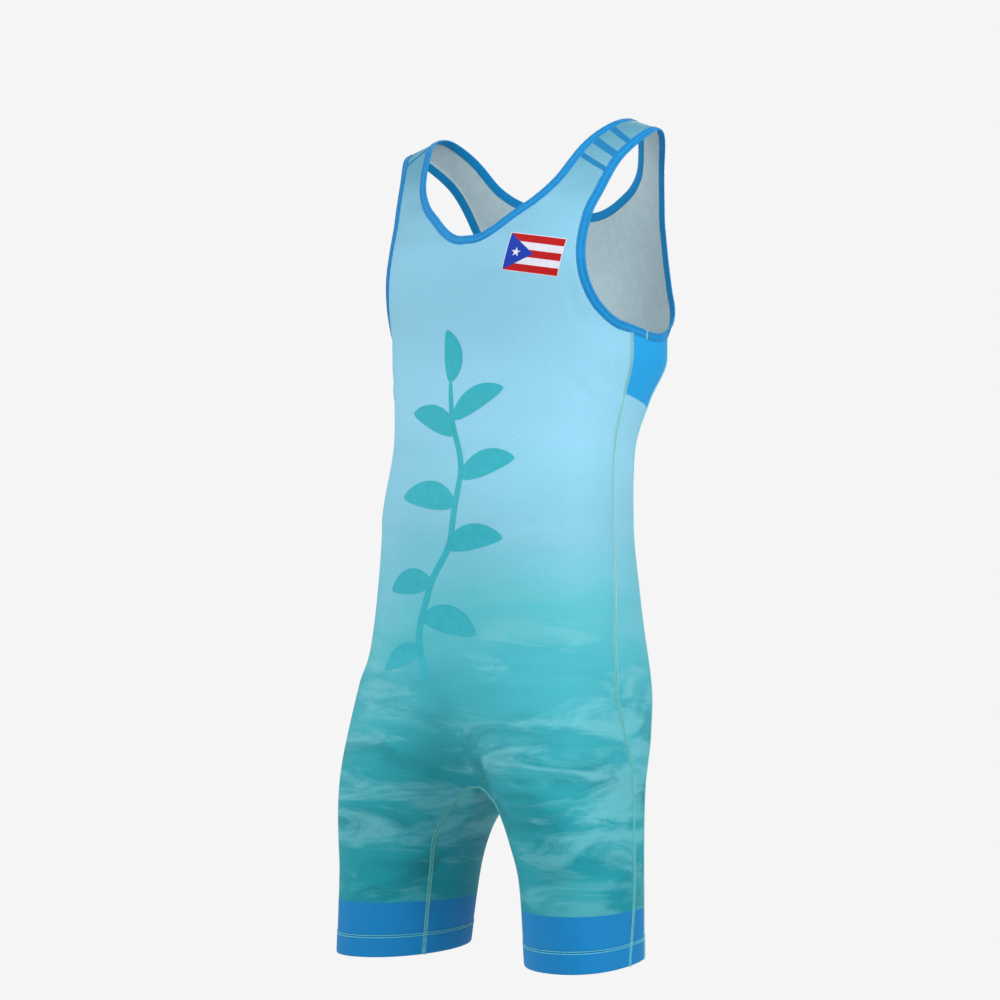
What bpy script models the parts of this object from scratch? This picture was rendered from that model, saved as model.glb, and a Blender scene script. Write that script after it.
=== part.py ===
"""A wrestling singlet, as it stands out when worn: a rigid cloth wall built panel by panel.

Every panel is a patch of one body surface. Below the chest the surface is a stack of level
sections, one row of BODY each; above it, every front-to-back profile closes over the shoulder.
+X is the wearer's left, the front faces -Y, and the origin is under the middle of the straps.
"""
import bpy
import numpy as np

# Cloth
WALL = 0.0012            # thickness of the knit
GAP = 0.0003             # clearance between two sewn pieces
BINDING_WIDTH = 0.009    # folded tape round the neck and the armholes
BINDING_THICK = 0.0022
MITRE_LIMIT = 0.7        # a tape's corner is lengthened by no more than one part in this

# Heights, from the underside of the straps
CHEST_Z = -0.235         # below it level sections, above it the shoulder profiles
CROTCH_Z = -0.672        # top of the arch between the legs
ARCH_HEIGHT = 0.060      # the arch reaches the straight of the inner leg this far down
HEM_Z = -0.841
HEM_TILT = 0.085         # the hem rises this much for each metre towards the back
HEM_FADE = 0.090         # the tilt dies out this far above the hem

# Shoulders and straps
STRAP_X = 0.138          # middle of a strap from the middle of the neck
SHOULDER_SLOPE = 0.36    # fall of the shoulder line for each metre outwards
SHOULDER_SLANT = 0.30    # how far the shoulder line comes forward for each metre outwards
PROFILE_RISE = 2.3       # how early a profile leaves the chest: 2 is an ellipse
PROFILE_ROUND = 2.0      # how round it goes over the shoulder
CHEST_FULL = 0.06        # how far the chest stands out above the armholes, as a share
CHEST_FULL_RISE = 0.75   # and the share of the height where that has died out
SHOULDER_SPREAD = 0.10   # how much wider the front is at the shoulders than at the chest line
SHOULDER_SPREAD_BACK = 0.14
SPREAD_RISE = 0.33       # and over what share of the height it becomes that wide
SPREAD_RISE_BACK = 0.17
SECTION_ROUND = 2.3      # 2 is an ellipse, more is squarer

# Neck and armholes, as shares of the height from the chest line to the shoulder
NECK_LOW_FRONT = 0.39
NECK_LOW_BACK = 0.55
ARMHOLE_CORNER = 0.08
ARMHOLE_SAG = 0.006      # the armhole's lowest point below its corners

# Rows and columns of the panels
LEG_ROWS = 7
ARCH_ROWS = 6
TORSO_ROWS = 13
SIDE_TOP_ROWS = 3
BIB_ROWS = 6
STRAP_ROWS = 12
STRAP_SPACING = 1.6      # over 1 keeps the neck's lowest rows close together too
HALF_PANEL_COLUMNS = 9
SIDE_COLUMNS = 5
GUSSET_COLUMNS = 6
FINE = 160               # points on a section before it is shared out evenly
LEAST = 1e-6             # keeps a division by a vanishing width away from zero
TAPE_STEP = 0.001        # a tape's points are no closer together than this

# The gusset's seams on a leg
GUSSET_FRONT = 0.80      # how far in the front one lies, as a share of the leg's half width
GUSSET_BACK = 0.30
GUSSET_ROUND = 0.70      # under 1 keeps the gusset wide near the top of the arch

# One row for each level section. out: the half body's centre from the middle; half: its half
# width; y: its centre; front and back: its depths; skew: how far the outer side stands
# forward, for each metre; dip: how far the cloth follows the two legs instead of bridging
# them; seam_front and seam_back: the side panel's seams, in degrees round from the front.
BODY_COLUMNS = ("z", "out", "half", "y", "front", "back", "skew", "dip", "seam_front", "seam_back")
BODY = (
    (-0.841, 0.1110, 0.0595, -0.0735, 0.0680, 0.0680, 0.17, 1.00, 91, 120),
    (-0.765, 0.1055, 0.0620, -0.0690, 0.0740, 0.0700, 0.18, 1.00, 98, 121),
    (-0.725, 0.1000, 0.0655, -0.0670, 0.0840, 0.0740, 0.18, 0.95, 99, 122),
    (-0.672, 0.0850, 0.0765, -0.0630, 0.1000, 0.0850, 0.14, 0.50, 97, 122),
    (-0.620, 0.0620, 0.0950, -0.0560, 0.1090, 0.1050, 0.08, 0.18, 89, 122),
    (-0.573, 0.0420, 0.1100, -0.0505, 0.1110, 0.1120, 0.03, 0.05, 82, 120),
    (-0.532, 0.0260, 0.1190, -0.0475, 0.1060, 0.1080, 0.00, 0.00, 82, 118),
    (-0.480, 0.0120, 0.1280, -0.0470, 0.1030, 0.1020, 0.00, 0.00, 85, 116),
    (-0.407, 0.0000, 0.1350, -0.0480, 0.1010, 0.0980, 0.00, 0.00, 87, 114),
    (-0.330, 0.0000, 0.1310, -0.0370, 0.0950, 0.0940, 0.00, 0.00, 86, 113),
    (-0.280, 0.0000, 0.1390, -0.0220, 0.1020, 0.0980, 0.00, 0.00, 82, 112),
    (-0.235, 0.0000, 0.1500, -0.0080, 0.1115, 0.1050, 0.00, 0.00, 77, 112),
)

# Cloth side of the armhole: share of the height, and distance from the middle.
ARMHOLE_COLUMNS = ("rise", "front_x", "back_x")
ARMHOLE = (
    (0.075, 0.1448, 0.1423),
    (0.126, 0.1350, 0.1335),
    (0.200, 0.1260, 0.1240),
    (0.325, 0.1190, 0.1150),
    (0.450, 0.1165, 0.1120),
    (0.566, 0.1175, 0.1130),
    (0.679, 0.1235, 0.1185),
    (0.825, 0.1320, 0.1290),
    (1.000, 0.1520, 0.1520),
)

# Cloth side of the neck: share of the way up from its lowest point, and distance from the
# middle. The share is a square root, so that the edge starts level.
NECK_COLUMNS = ("up", "front_x", "back_x")
NECK = (
    (0.000, 0.0000, 0.0000),
    (0.430, 0.0500, 0.0580),
    (0.565, 0.0720, 0.0790),
    (0.695, 0.0895, 0.0950),
    (0.875, 0.1060, 0.1100),
    (1.000, 0.1240, 0.1240),
)

CLOTH_BLUE = (0.30, 0.62, 0.80, 1.0)
SIDE_BLUE = (0.10, 0.45, 0.75, 1.0)
BINDING_BLUE = (0.02, 0.28, 0.62, 1.0)
CLOTH_ROUGHNESS = 0.72


def column(table, names, name):
    """One named column of a table, as an array."""
    return np.array([row[names.index(name)] for row in table], float)


def through(xs, ys, x, level_end=False):
    """A smooth curve through the points of a table, that never overshoots them."""
    slopes = np.diff(ys) / np.diff(xs)
    left, right = slopes[:-1], slopes[1:]
    same_way = left * right > 0
    inner = np.where(same_way, 2 * left * right / np.where(same_way, left + right, 1), 0)
    tangents = np.concatenate([slopes[:1], inner, 0 * slopes[-1:] if level_end else slopes[-1:]])
    x = np.clip(x, xs[0], xs[-1])
    i = np.clip(np.searchsorted(xs, x) - 1, 0, len(xs) - 2)
    step = xs[i + 1] - xs[i]
    t = (x - xs[i]) / step
    return (
        (1 + 2 * t) * (1 - t) ** 2 * ys[i]
        + t * (1 - t) ** 2 * step * tangents[i]
        + t**2 * (3 - 2 * t) * ys[i + 1]
        - t**2 * (1 - t) * step * tangents[i + 1]
    )


def body(name, z):
    """A value of the body table at a height. It ends upright, as the shoulder profiles start."""
    heights = column(BODY, BODY_COLUMNS, "z")
    return through(heights, column(BODY, BODY_COLUMNS, name), z, level_end=True)


def armhole(name, rise):
    """Where the armhole's cloth edge runs at a share of the height."""
    table, names = ARMHOLE, ARMHOLE_COLUMNS
    return through(column(table, names, "rise"), column(table, names, name), rise)


def arch(z):
    """0 at the top of the arch between the legs, 1 on the straight of the inner leg."""
    down = np.clip((CROTCH_Z - z) / ARCH_HEIGHT, 0, 1)
    return np.sqrt(1 - (1 - down) ** 2)


def smooth_step(t):
    t = np.clip(t, 0, 1)
    return t * t * (3 - 2 * t)


def inner_x(z):
    """The inmost point of a leg from the middle, on the arch and below it."""
    straight = body("out", z) - body("half", z)
    return np.maximum(straight, 0) * arch(z) + 0.5 * GAP


def section_y(z, x, back):
    """The front or back face of a half body's section at a distance from the middle."""
    out, half = body("out", z), body("half", z)
    depth = body("back" if back else "front", z)
    beyond = np.clip((x - out) / half, 0, 1)
    outer = (1 - beyond**SECTION_ROUND) ** (1 / SECTION_ROUND)
    bridge = 0.5 * (1 + np.cos(np.pi * np.clip((out - x) / max(out, LEAST), 0, 1)))
    inner_half = max(out - (inner_x(z) if z < CROTCH_Z else 0), LEAST)
    leg = np.sqrt(1 - np.clip((out - x) / inner_half, 0, 1) ** 2)
    legged = smooth_step((CROTCH_Z - z) / ARCH_HEIGHT)
    inner = 1 - body("dip", z) * (1 - (1 - legged) * bridge - legged * leg)
    share = np.where(x > out, outer, inner)
    y = depth * share * (1 if back else -1)
    return body("y", z) + y - body("skew", z) * (x - out)


def seam_x(z, name):
    """How far out the side panel's front or back seam lies, from its angle."""
    angle = np.radians(body(name, z))
    return body("out", z) + body("half", z) * np.abs(np.sin(angle)) ** (2 / SECTION_ROUND)


def level_side(z, start, end):
    """Points round the outer side of a level section between two angles."""
    angle = np.radians(np.linspace(start, end, FINE))
    power = 2 / SECTION_ROUND
    out, half = body("out", z), body("half", z)
    x = out + half * np.sign(np.sin(angle)) * np.abs(np.sin(angle)) ** power
    depth = np.where(np.cos(angle) > 0, body("front", z), body("back", z))
    y = -depth * np.sign(np.cos(angle)) * np.abs(np.cos(angle)) ** power
    y = body("y", z) + y - body("skew", z) * (x - out)
    return np.column_stack([x, y, np.full(FINE, z)])


def hem_drop(points):
    """Tilts the rows near the hem, which is cut square to the leaning thigh."""
    share = smooth_step(1 - (points[:, 2] - HEM_Z) / HEM_FADE)
    tilt = HEM_TILT * (points[:, 1] - body("y", HEM_Z))
    return points + np.column_stack([0 * tilt, 0 * tilt, share * tilt])


def shoulder_rise(points, rise):
    """Lifts points of the chest section up their profiles, by a share of the height."""
    x, y = points[:, 0], points[:, 1]
    top = SHOULDER_SLOPE * (STRAP_X - x)
    full = np.sin(np.pi * min(rise / CHEST_FULL_RISE, 1)) ** 2
    leave = (1 - rise**PROFILE_RISE) ** (1 / PROFILE_ROUND) * (1 + CHEST_FULL * full)
    ridge = SHOULDER_SLANT * (STRAP_X - x)
    return np.column_stack([x, ridge + (y - ridge) * leave, CHEST_Z + (top - CHEST_Z) * rise])


def evenly(points, count, trim=GAP / 2):
    """Shares a fine row of points out into count steps of equal length, trimmed at each end."""
    along = np.concatenate([[0], np.cumsum(np.linalg.norm(np.diff(points, axis=0), axis=1))])
    at = np.linspace(trim, along[-1] - trim, count + 1)
    return np.column_stack([np.interp(at, along, points[:, k]) for k in range(3)])


def face_row(z, back):
    """A fine row of the front or back panel of the left half, from the middle or the gusset's
    seam to the side seam."""
    seam = "seam_back" if back else "seam_front"
    angle = body(seam, z)
    start = gusset_x(z, back) if z < CROTCH_Z else 0.0
    if back:
        side = level_side(z, 180, angle)
    else:
        side = level_side(z, 0, angle)
    side = side[side[:, 0] > body("out", z) + LEAST]
    x = np.linspace(start, body("out", z), FINE)
    x = x[: 1 if body("out", z) < LEAST else FINE]
    flat = np.column_stack([x, section_y(z, x, back), np.full(len(x), z)])
    return hem_drop(np.concatenate([flat, side]))


def gusset_x(z, back):
    """Where the gusset's seam runs on a leg, from the middle."""
    straight = body("out", z) - body("half", z) * (GUSSET_BACK if back else GUSSET_FRONT)
    wide = arch(z) ** GUSSET_ROUND
    return straight * wide + 0.5 * GAP * (1 - wide)


def gusset_row(z):
    """A fine row of the gusset on the left leg, from its front seam round to its back seam."""
    inmost = inner_x(z)
    rows = []
    for back in (False, True):
        share = 0.5 - 0.5 * np.cos(np.linspace(0, np.pi, FINE))
        x = gusset_x(z, back) + (inmost - gusset_x(z, back)) * share
        rows.append(np.column_stack([x, section_y(z, x, back), np.full(FINE, z)]))
    return hem_drop(np.concatenate([rows[0], rows[1][::-1]]))


def neck_x(rise, low, name):
    """The neck's cloth edge at a share of the height, for a neck that starts at low."""
    up = np.sqrt(np.clip((rise - low) / (1 - low), 0, 1))
    return float(through(column(NECK, NECK_COLUMNS, "up"), column(NECK, NECK_COLUMNS, name), up))


def bib_row(rise, back):
    """A fine row of the chest or the strap, from the middle or the neck to the armhole."""
    low = NECK_LOW_BACK if back else NECK_LOW_FRONT
    face = "back_x" if back else "front_x"
    start = neck_x(rise, low, face) if rise > low else 0.0
    end = float(armhole(face, rise))
    if rise < ARMHOLE_CORNER + LEAST:
        end = seam_x(CHEST_Z, "seam_back" if back else "seam_front")
    x = np.linspace(start, end, FINE)
    wider = SHOULDER_SPREAD_BACK if back else SHOULDER_SPREAD
    spread_rise = SPREAD_RISE_BACK if back else SPREAD_RISE
    spread = 1 + wider * smooth_step((rise - ARMHOLE_CORNER) / spread_rise)
    points = np.column_stack([x, section_y(CHEST_Z, x / spread, back), np.full(FINE, CHEST_Z)])
    return shoulder_rise(points, rise)


def arc_steps(count):
    """Shares from 0 to 1, close together at 0, for rows that leave the top of a curve."""
    return 1 - np.cos(np.linspace(0, np.pi / 2, count + 1))


def low_levels():
    """Heights of the rows from the hem up to the chest."""
    leg = np.linspace(HEM_Z, CROTCH_Z - ARCH_HEIGHT, LEG_ROWS + 1)[:-1]
    curve = CROTCH_Z - ARCH_HEIGHT * arc_steps(ARCH_ROWS)[::-1]
    torso = np.linspace(CROTCH_Z, CHEST_Z, TORSO_ROWS + 1)[1:]
    return np.concatenate([leg, curve, torso])


def high_levels(low):
    """Shares of the height of the rows from the chest to the shoulder seam."""
    side = np.linspace(0, ARMHOLE_CORNER, SIDE_TOP_ROWS)[1:]
    bib = np.linspace(ARMHOLE_CORNER, low, BIB_ROWS + 1)[1:]
    quarter = np.linspace(0, np.pi / 2, STRAP_ROWS + 1)[1:]
    strap = low + (1 - low) * np.sin(quarter) ** STRAP_SPACING
    return np.concatenate([side, bib, strap])


def half_panel(back):
    """Every row of the left half of the front or back panel, as one grid."""
    low = NECK_LOW_BACK if back else NECK_LOW_FRONT
    rows = [face_row(z, back) for z in low_levels()]
    rows += [bib_row(rise, back) for rise in high_levels(low)]
    grid = np.array([evenly(row, HALF_PANEL_COLUMNS) for row in rows])
    grid[-1, :, 1] += GAP * (1 if back else -1)
    return grid


def side_rows():
    """Every row of the left side panel, from its front seam to its back seam."""
    rows = []
    for z in low_levels():
        points = level_side(z, body("seam_front", z), body("seam_back", z))
        rows.append(evenly(hem_drop(points), SIDE_COLUMNS))
    chest = level_side(CHEST_Z, body("seam_front", CHEST_Z), body("seam_back", CHEST_Z))
    for rise in np.linspace(0, ARMHOLE_CORNER, SIDE_TOP_ROWS)[1:]:
        rows.append(evenly(shoulder_rise(chest, rise), SIDE_COLUMNS))
    across = np.linspace(0, np.pi, SIDE_COLUMNS + 1)
    rows[-1][:, 2] -= ARMHOLE_SAG * np.sin(across)
    return np.array(rows)


def surface_normals(grid):
    """Unit normals of a grid of points, facing out of the body on the left side."""
    along, across = np.gradient(grid, axis=0), np.gradient(grid, axis=1)
    normal = np.cross(across, along)
    return normal / np.maximum(np.linalg.norm(normal, axis=2, keepdims=True), 1e-12)


def material(name, colour):
    made = bpy.data.materials.new(name)
    made.use_nodes = True
    shader = made.node_tree.nodes["Principled BSDF"]
    shader.inputs["Base Color"].default_value = colour
    shader.inputs["Roughness"].default_value = CLOTH_ROUGHNESS
    shader.inputs["Metallic"].default_value = 0.0
    return made


def open_cloth(name, points, faces, finish, thickness):
    """An open sheet of cloth that a Solidify modifier makes a wall of, half to each side."""
    mesh = bpy.data.meshes.new(name)
    mesh.from_pydata([tuple(p) for p in points], [], faces)
    mesh.materials.append(finish)
    mesh.shade_smooth()
    made = bpy.data.objects.new(name, mesh)
    wall = made.modifiers.new("wall", "SOLIDIFY")
    wall.thickness = thickness
    wall.offset = 0
    wall.use_rim = True
    return made


def turned(face):
    """A quad facing the other way, split along the same diagonal."""
    return (face[0], face[3], face[2], face[1])


def grid_faces(rows, columns, flip=False):
    """Quads of a grid whose points are numbered row by row."""
    faces = []
    for i in range(rows - 1):
        for j in range(columns - 1):
            a = i * columns + j
            face = (a, a + 1, a + columns + 1, a + columns)
            faces.append(turned(face) if flip else face)
    return faces


def mirrored_panel(name, grid, back, finish):
    """A whole front or back panel: the left half and its mirror image, made one at the middle
    wherever the half starts there."""
    points, faces, number = [], [], {}

    def corner(point):
        key = tuple(np.round(point, 7))
        if key not in number:
            number[key] = len(points)
            points.append(point)
        return number[key]

    middle = grid[:, 0, 0] <= 0.5 * GAP + LEAST
    middle[: LEG_ROWS + ARCH_ROWS] = False
    grid = grid.copy()
    grid[middle, 0, 0] = 0.0
    for side in (1, -1):
        half = grid * np.array([side, 1, 1])
        index = [[corner(p) for p in row] for row in half]
        for i in range(len(index) - 1):
            for j in range(len(index[0]) - 1):
                face = (index[i][j], index[i][j + 1], index[i + 1][j + 1], index[i + 1][j])
                faces.append(face if (side > 0) != back else turned(face))
    return open_cloth(name, points, faces, finish, WALL)


def gusset_strip(finish):
    """The gusset: one strip up the left leg, through the crotch and down the right leg."""
    levels = low_levels()
    levels = levels[: LEG_ROWS + ARCH_ROWS]
    corner = GAP / 2 + WALL * (1 - arch(levels))
    left = [evenly(gusset_row(z), GUSSET_COLUMNS, trim) for z, trim in zip(levels, corner)]
    top = gusset_row(CROTCH_Z - LEAST)
    top[:, 0] = 0.0
    top = evenly(top, GUSSET_COLUMNS, GAP / 2 + WALL)
    right = [row * np.array([-1, 1, 1]) for row in left[::-1]]
    grid = np.array(left + [top] + right)
    faces = grid_faces(len(grid), GUSSET_COLUMNS + 1, flip=True)
    return open_cloth("gusset", grid.reshape(-1, 3), faces, finish, WALL)


def side_panel(name, side, finish):
    grid = side_rows() * np.array([side, 1, 1])
    faces = grid_faces(*grid.shape[:2], flip=side < 0)
    return open_cloth(name, grid.reshape(-1, 3), faces, finish, WALL)


def unit(vectors):
    return vectors / np.linalg.norm(vectors, axis=1, keepdims=True)


def band(name, edge, normals, finish, side=1):
    """A closed tape beside a panel's edge. edge runs round the hole; the tape lies between it
    and the hole, in the surface. Side -1 makes its mirror image."""
    leaving = unit(np.roll(edge, -1, axis=0) - edge)
    inward = unit(np.cross(leaving + np.roll(leaving, 1, axis=0), normals))
    across = unit(np.cross(leaving, normals))
    inward /= np.maximum((inward * across).sum(axis=1, keepdims=True), MITRE_LIMIT)
    count = len(edge)
    lines = [edge + inward * (GAP + BINDING_WIDTH * share) for share in (0, 0.5, 1)]
    points = np.concatenate(lines)
    faces = []
    for k in range(len(lines) - 1):
        for i in range(count):
            j = (i + 1) % count
            face = (k * count + i, k * count + j, (k + 1) * count + j, (k + 1) * count + i)
            faces.append(turned(face) if side > 0 else face)
    return open_cloth(name, points * np.array([side, 1, 1]), faces, finish, BINDING_THICK)


def neck_loop(front, back):
    """The neck's edge, from the front's middle up over the left shoulder, round the back and
    home over the right shoulder."""
    first = LEG_ROWS + ARCH_ROWS + TORSO_ROWS + SIDE_TOP_ROWS - 1 + BIB_ROWS
    parts = []
    for grid, sign in ((front, 1), (back, -1)):
        normals = surface_normals(grid) * sign
        parts.append((grid[first:, 0].copy(), normals[first:, 0].copy()))
    for points, normals in parts:
        points[0, 0] = 0.0
        normals[0, 0] = 0.0
    mirror = np.array([-1, 1, 1])
    (fp, fn), (bp, bn) = parts
    points = np.concatenate([fp, bp[::-1], bp[1:] * mirror, fp[:0:-1] * mirror])
    normals = np.concatenate([fn, bn[::-1], bn[1:] * mirror, fn[:0:-1] * mirror])
    return thinned(points, normals)


def armhole_loop(front, back, side):
    """The left armhole's edge: up the front, over the shoulder, down the back, and under the
    arm along the side panel."""
    first = LEG_ROWS + ARCH_ROWS + TORSO_ROWS + SIDE_TOP_ROWS - 1
    side_normals = surface_normals(side)
    points, normals = [], []
    for grid, sign, step in ((front, 1, 1), (back, -1, -1)):
        found = surface_normals(grid) * sign
        points.append(grid[first:, -1][::step].copy())
        normals.append(found[first:, -1][::step])
    points[0][0] = 0.5 * (points[0][0] + side[-1, 0])
    points[1][-1] = 0.5 * (points[1][-1] + side[-1, -1])
    points.append(side[-1][::-1][1:-1])
    normals.append(side_normals[-1][::-1][1:-1])
    return thinned(np.concatenate(points), np.concatenate(normals))


def thinned(points, normals):
    """Leaves out points that lie too close to the one before."""
    kept = [0]
    for i in range(1, len(points)):
        if np.linalg.norm(points[i] - points[kept[-1]]) > TAPE_STEP:
            kept.append(i)
    return points[kept], normals[kept]


def remove_start_objects():
    for old in list(bpy.data.objects):
        bpy.data.objects.remove(old)


def main():
    remove_start_objects()
    parts = bpy.data.collections.new("singlet")
    bpy.context.scene.collection.children.link(parts)
    cloth = material("printed_knit", CLOTH_BLUE)
    side_cloth = material("side_knit", SIDE_BLUE)
    tape = material("binding_tape", BINDING_BLUE)
    front, back, side = half_panel(False), half_panel(True), side_rows()
    made = [
        mirrored_panel("front_panel", front, False, cloth),
        mirrored_panel("back_panel", back, True, cloth),
        side_panel("side_panel_left", 1, side_cloth),
        side_panel("side_panel_right", -1, side_cloth),
        gusset_strip(cloth),
    ]
    neck, neck_normals = neck_loop(front, back)
    arm, arm_normals = armhole_loop(front, back, side)
    made.append(band("neck_binding", neck[::-1], neck_normals[::-1], tape))
    made.append(band("armhole_binding_left", arm, arm_normals, tape))
    made.append(band("armhole_binding_right", arm, arm_normals, tape, side=-1))
    for piece in made:
        parts.objects.link(piece)


main()
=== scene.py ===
# %% [markdown]
# # A wrestling singlet, dressed
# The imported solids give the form. This script puts a thin stretch knit on each of them, cut
# finer from the same sizes, then the folded tape, the sewing, the print, the light and the
# camera. Everything is in metres: +X is the wearer's left, the front faces -Y, +Z is up.

# %% Load the solids
import math

import bmesh
import bpy
import numpy as np
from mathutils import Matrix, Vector


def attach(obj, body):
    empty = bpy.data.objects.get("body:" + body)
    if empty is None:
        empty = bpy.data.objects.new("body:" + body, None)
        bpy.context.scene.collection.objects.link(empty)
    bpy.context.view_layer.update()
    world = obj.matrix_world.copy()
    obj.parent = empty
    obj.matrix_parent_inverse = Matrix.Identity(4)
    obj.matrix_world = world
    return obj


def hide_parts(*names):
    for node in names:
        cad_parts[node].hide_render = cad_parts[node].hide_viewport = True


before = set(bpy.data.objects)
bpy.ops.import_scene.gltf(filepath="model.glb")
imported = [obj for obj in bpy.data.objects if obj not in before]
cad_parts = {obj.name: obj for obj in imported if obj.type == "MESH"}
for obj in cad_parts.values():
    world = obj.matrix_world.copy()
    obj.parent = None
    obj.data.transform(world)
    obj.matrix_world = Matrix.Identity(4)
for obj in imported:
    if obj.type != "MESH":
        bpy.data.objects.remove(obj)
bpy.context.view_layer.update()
print("solids:", sorted(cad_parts))

# %% [markdown]
# ## The sizes of the suit
# These are the sizes that the solids were made from. Below the chest line each row of BODY is
# a level section; above it every front-to-back profile closes over the shoulder.

# %% Sizes and tables
CHEST_Z = -0.235         # below it level sections, above it the shoulder profiles
CROTCH_Z = -0.672        # top of the arch between the legs
ARCH_HEIGHT = 0.060
HEM_Z = -0.841
HEM_TILT = 0.085         # the hem rises this much for each metre towards the back
HEM_FADE = 0.090

STRAP_X = 0.138          # middle of a strap from the middle of the neck
SHOULDER_SLOPE = 0.36
SHOULDER_SLANT = 0.30
PROFILE_RISE = 2.3
PROFILE_ROUND = 2.0
CHEST_FULL = 0.06
CHEST_FULL_RISE = 0.75
SHOULDER_SPREAD = 0.10
SHOULDER_SPREAD_BACK = 0.14
SPREAD_RISE = 0.33
SPREAD_RISE_BACK = 0.17
SECTION_ROUND = 2.3      # 2 is an ellipse, more is squarer

NECK_LOW_FRONT = 0.39
NECK_LOW_BACK = 0.55
ARMHOLE_CORNER = 0.08
ARMHOLE_SAG = 0.006
GUSSET_FRONT = 0.80      # how far in a gusset seam lies, as a share of the leg's half width
GUSSET_BACK = 0.30
GUSSET_ROUND = 0.70      # under 1 keeps the gusset wide near the top of the arch
LEAST = 1e-6

BODY_COLUMNS = ("z", "out", "half", "y", "front", "back", "skew", "dip", "seam_front", "seam_back")
BODY = (
    (-0.841, 0.1110, 0.0595, -0.0735, 0.0680, 0.0680, 0.17, 1.00, 91, 120),
    (-0.765, 0.1055, 0.0620, -0.0690, 0.0740, 0.0700, 0.18, 1.00, 98, 121),
    (-0.725, 0.1000, 0.0655, -0.0670, 0.0840, 0.0740, 0.18, 0.95, 99, 122),
    (-0.672, 0.0850, 0.0765, -0.0630, 0.1000, 0.0850, 0.14, 0.50, 97, 122),
    (-0.620, 0.0620, 0.0950, -0.0560, 0.1090, 0.1050, 0.08, 0.18, 89, 122),
    (-0.573, 0.0420, 0.1100, -0.0505, 0.1110, 0.1120, 0.03, 0.05, 82, 120),
    (-0.532, 0.0260, 0.1190, -0.0475, 0.1060, 0.1080, 0.00, 0.00, 82, 118),
    (-0.480, 0.0120, 0.1280, -0.0470, 0.1030, 0.1020, 0.00, 0.00, 85, 116),
    (-0.407, 0.0000, 0.1350, -0.0480, 0.1010, 0.0980, 0.00, 0.00, 87, 114),
    (-0.330, 0.0000, 0.1310, -0.0370, 0.0950, 0.0940, 0.00, 0.00, 86, 113),
    (-0.280, 0.0000, 0.1390, -0.0220, 0.1020, 0.0980, 0.00, 0.00, 82, 112),
    (-0.235, 0.0000, 0.1500, -0.0080, 0.1115, 0.1050, 0.00, 0.00, 77, 112),
)
ARMHOLE_COLUMNS = ("rise", "front_x", "back_x")
ARMHOLE = (
    (0.075, 0.1448, 0.1423),
    (0.126, 0.1350, 0.1335),
    (0.200, 0.1260, 0.1240),
    (0.325, 0.1190, 0.1150),
    (0.450, 0.1165, 0.1120),
    (0.566, 0.1175, 0.1130),
    (0.679, 0.1235, 0.1185),
    (0.825, 0.1320, 0.1290),
    (1.000, 0.1520, 0.1520),
)
NECK_COLUMNS = ("up", "front_x", "back_x")
NECK = (
    (0.000, 0.0000, 0.0000),
    (0.430, 0.0500, 0.0580),
    (0.565, 0.0720, 0.0790),
    (0.695, 0.0895, 0.0950),
    (0.875, 0.1060, 0.1100),
    (1.000, 0.1240, 0.1240),
)
print("rows of the tables:", len(BODY), len(ARMHOLE), len(NECK))

# %% [markdown]
# The solids are coarse. The cloth here is cut finer, because creases, hems and seam grooves
# need many more points than a plain wall does. These numbers say how fine.

# %% How finely the cloth is cut
CLOTH = 0.0010           # thickness of the knit
SEAM = 0.0001            # what a sewn edge keeps off its neighbour
LEG_ROWS = 34
ARCH_ROWS = 22
TORSO_ROWS = 104
SIDE_TOP_ROWS = 9
BIB_ROWS = 20
STRAP_ROWS = 54
STRAP_SPACING = 1.6      # over 1 crowds the strap's rows where the neck starts
HEM_ROWS = (0.0004, 0.0010, 0.0172, 0.0186, 0.0196, 0.0206, 0.0216, 0.0226, 0.0240)
FRONT_STEPS, BACK_STEPS, SIDE_STEPS, GUSSET_STEPS = 50, 46, 16, 34
FINE = 400               # points on a section before it is shared out
SEAM_STEPS = (0.0008, 0.0016, 0.0026, 0.0040, 0.0060)
MIDDLE_SNAP = 0.001      # a torso row that starts this near to the middle starts on it
TAPE_WIDTH = 0.009
TAPE_THICK = 0.0022
MIRROR = np.array([-1, 1, 1])
TINY = 1e-12
print("levels up to the chest:", LEG_ROWS + ARCH_ROWS + TORSO_ROWS)

# %% [markdown]
# ## The surface of the body
# The same functions as in the solids: a smooth curve through each table, then the front, back,
# side and gusset rows that a panel is made of.

# %% Surface functions
def column(table, names, name):
    """One named column of a table, as an array."""
    return np.array([row[names.index(name)] for row in table], float)


def through(xs, ys, x, level_end=False):
    """A smooth curve through the points of a table, that never overshoots them."""
    slopes = np.diff(ys) / np.diff(xs)
    left, right = slopes[:-1], slopes[1:]
    same_way = left * right > 0
    inner = np.where(same_way, 2 * left * right / np.where(same_way, left + right, 1), 0)
    tangents = np.concatenate([slopes[:1], inner, 0 * slopes[-1:] if level_end else slopes[-1:]])
    x = np.clip(x, xs[0], xs[-1])
    i = np.clip(np.searchsorted(xs, x) - 1, 0, len(xs) - 2)
    step = xs[i + 1] - xs[i]
    t = (x - xs[i]) / step
    return (
        (1 + 2 * t) * (1 - t) ** 2 * ys[i]
        + t * (1 - t) ** 2 * step * tangents[i]
        + t**2 * (3 - 2 * t) * ys[i + 1]
        - t**2 * (1 - t) * step * tangents[i + 1]
    )


def body(name, z):
    """A value of the body table at a height. It ends upright, as the shoulder profiles start."""
    heights = column(BODY, BODY_COLUMNS, "z")
    return through(heights, column(BODY, BODY_COLUMNS, name), z, level_end=True)


def armhole(name, rise):
    table, names = ARMHOLE, ARMHOLE_COLUMNS
    return through(column(table, names, "rise"), column(table, names, name), rise)


def smooth_step(t):
    t = np.clip(t, 0, 1)
    return t * t * (3 - 2 * t)


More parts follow.
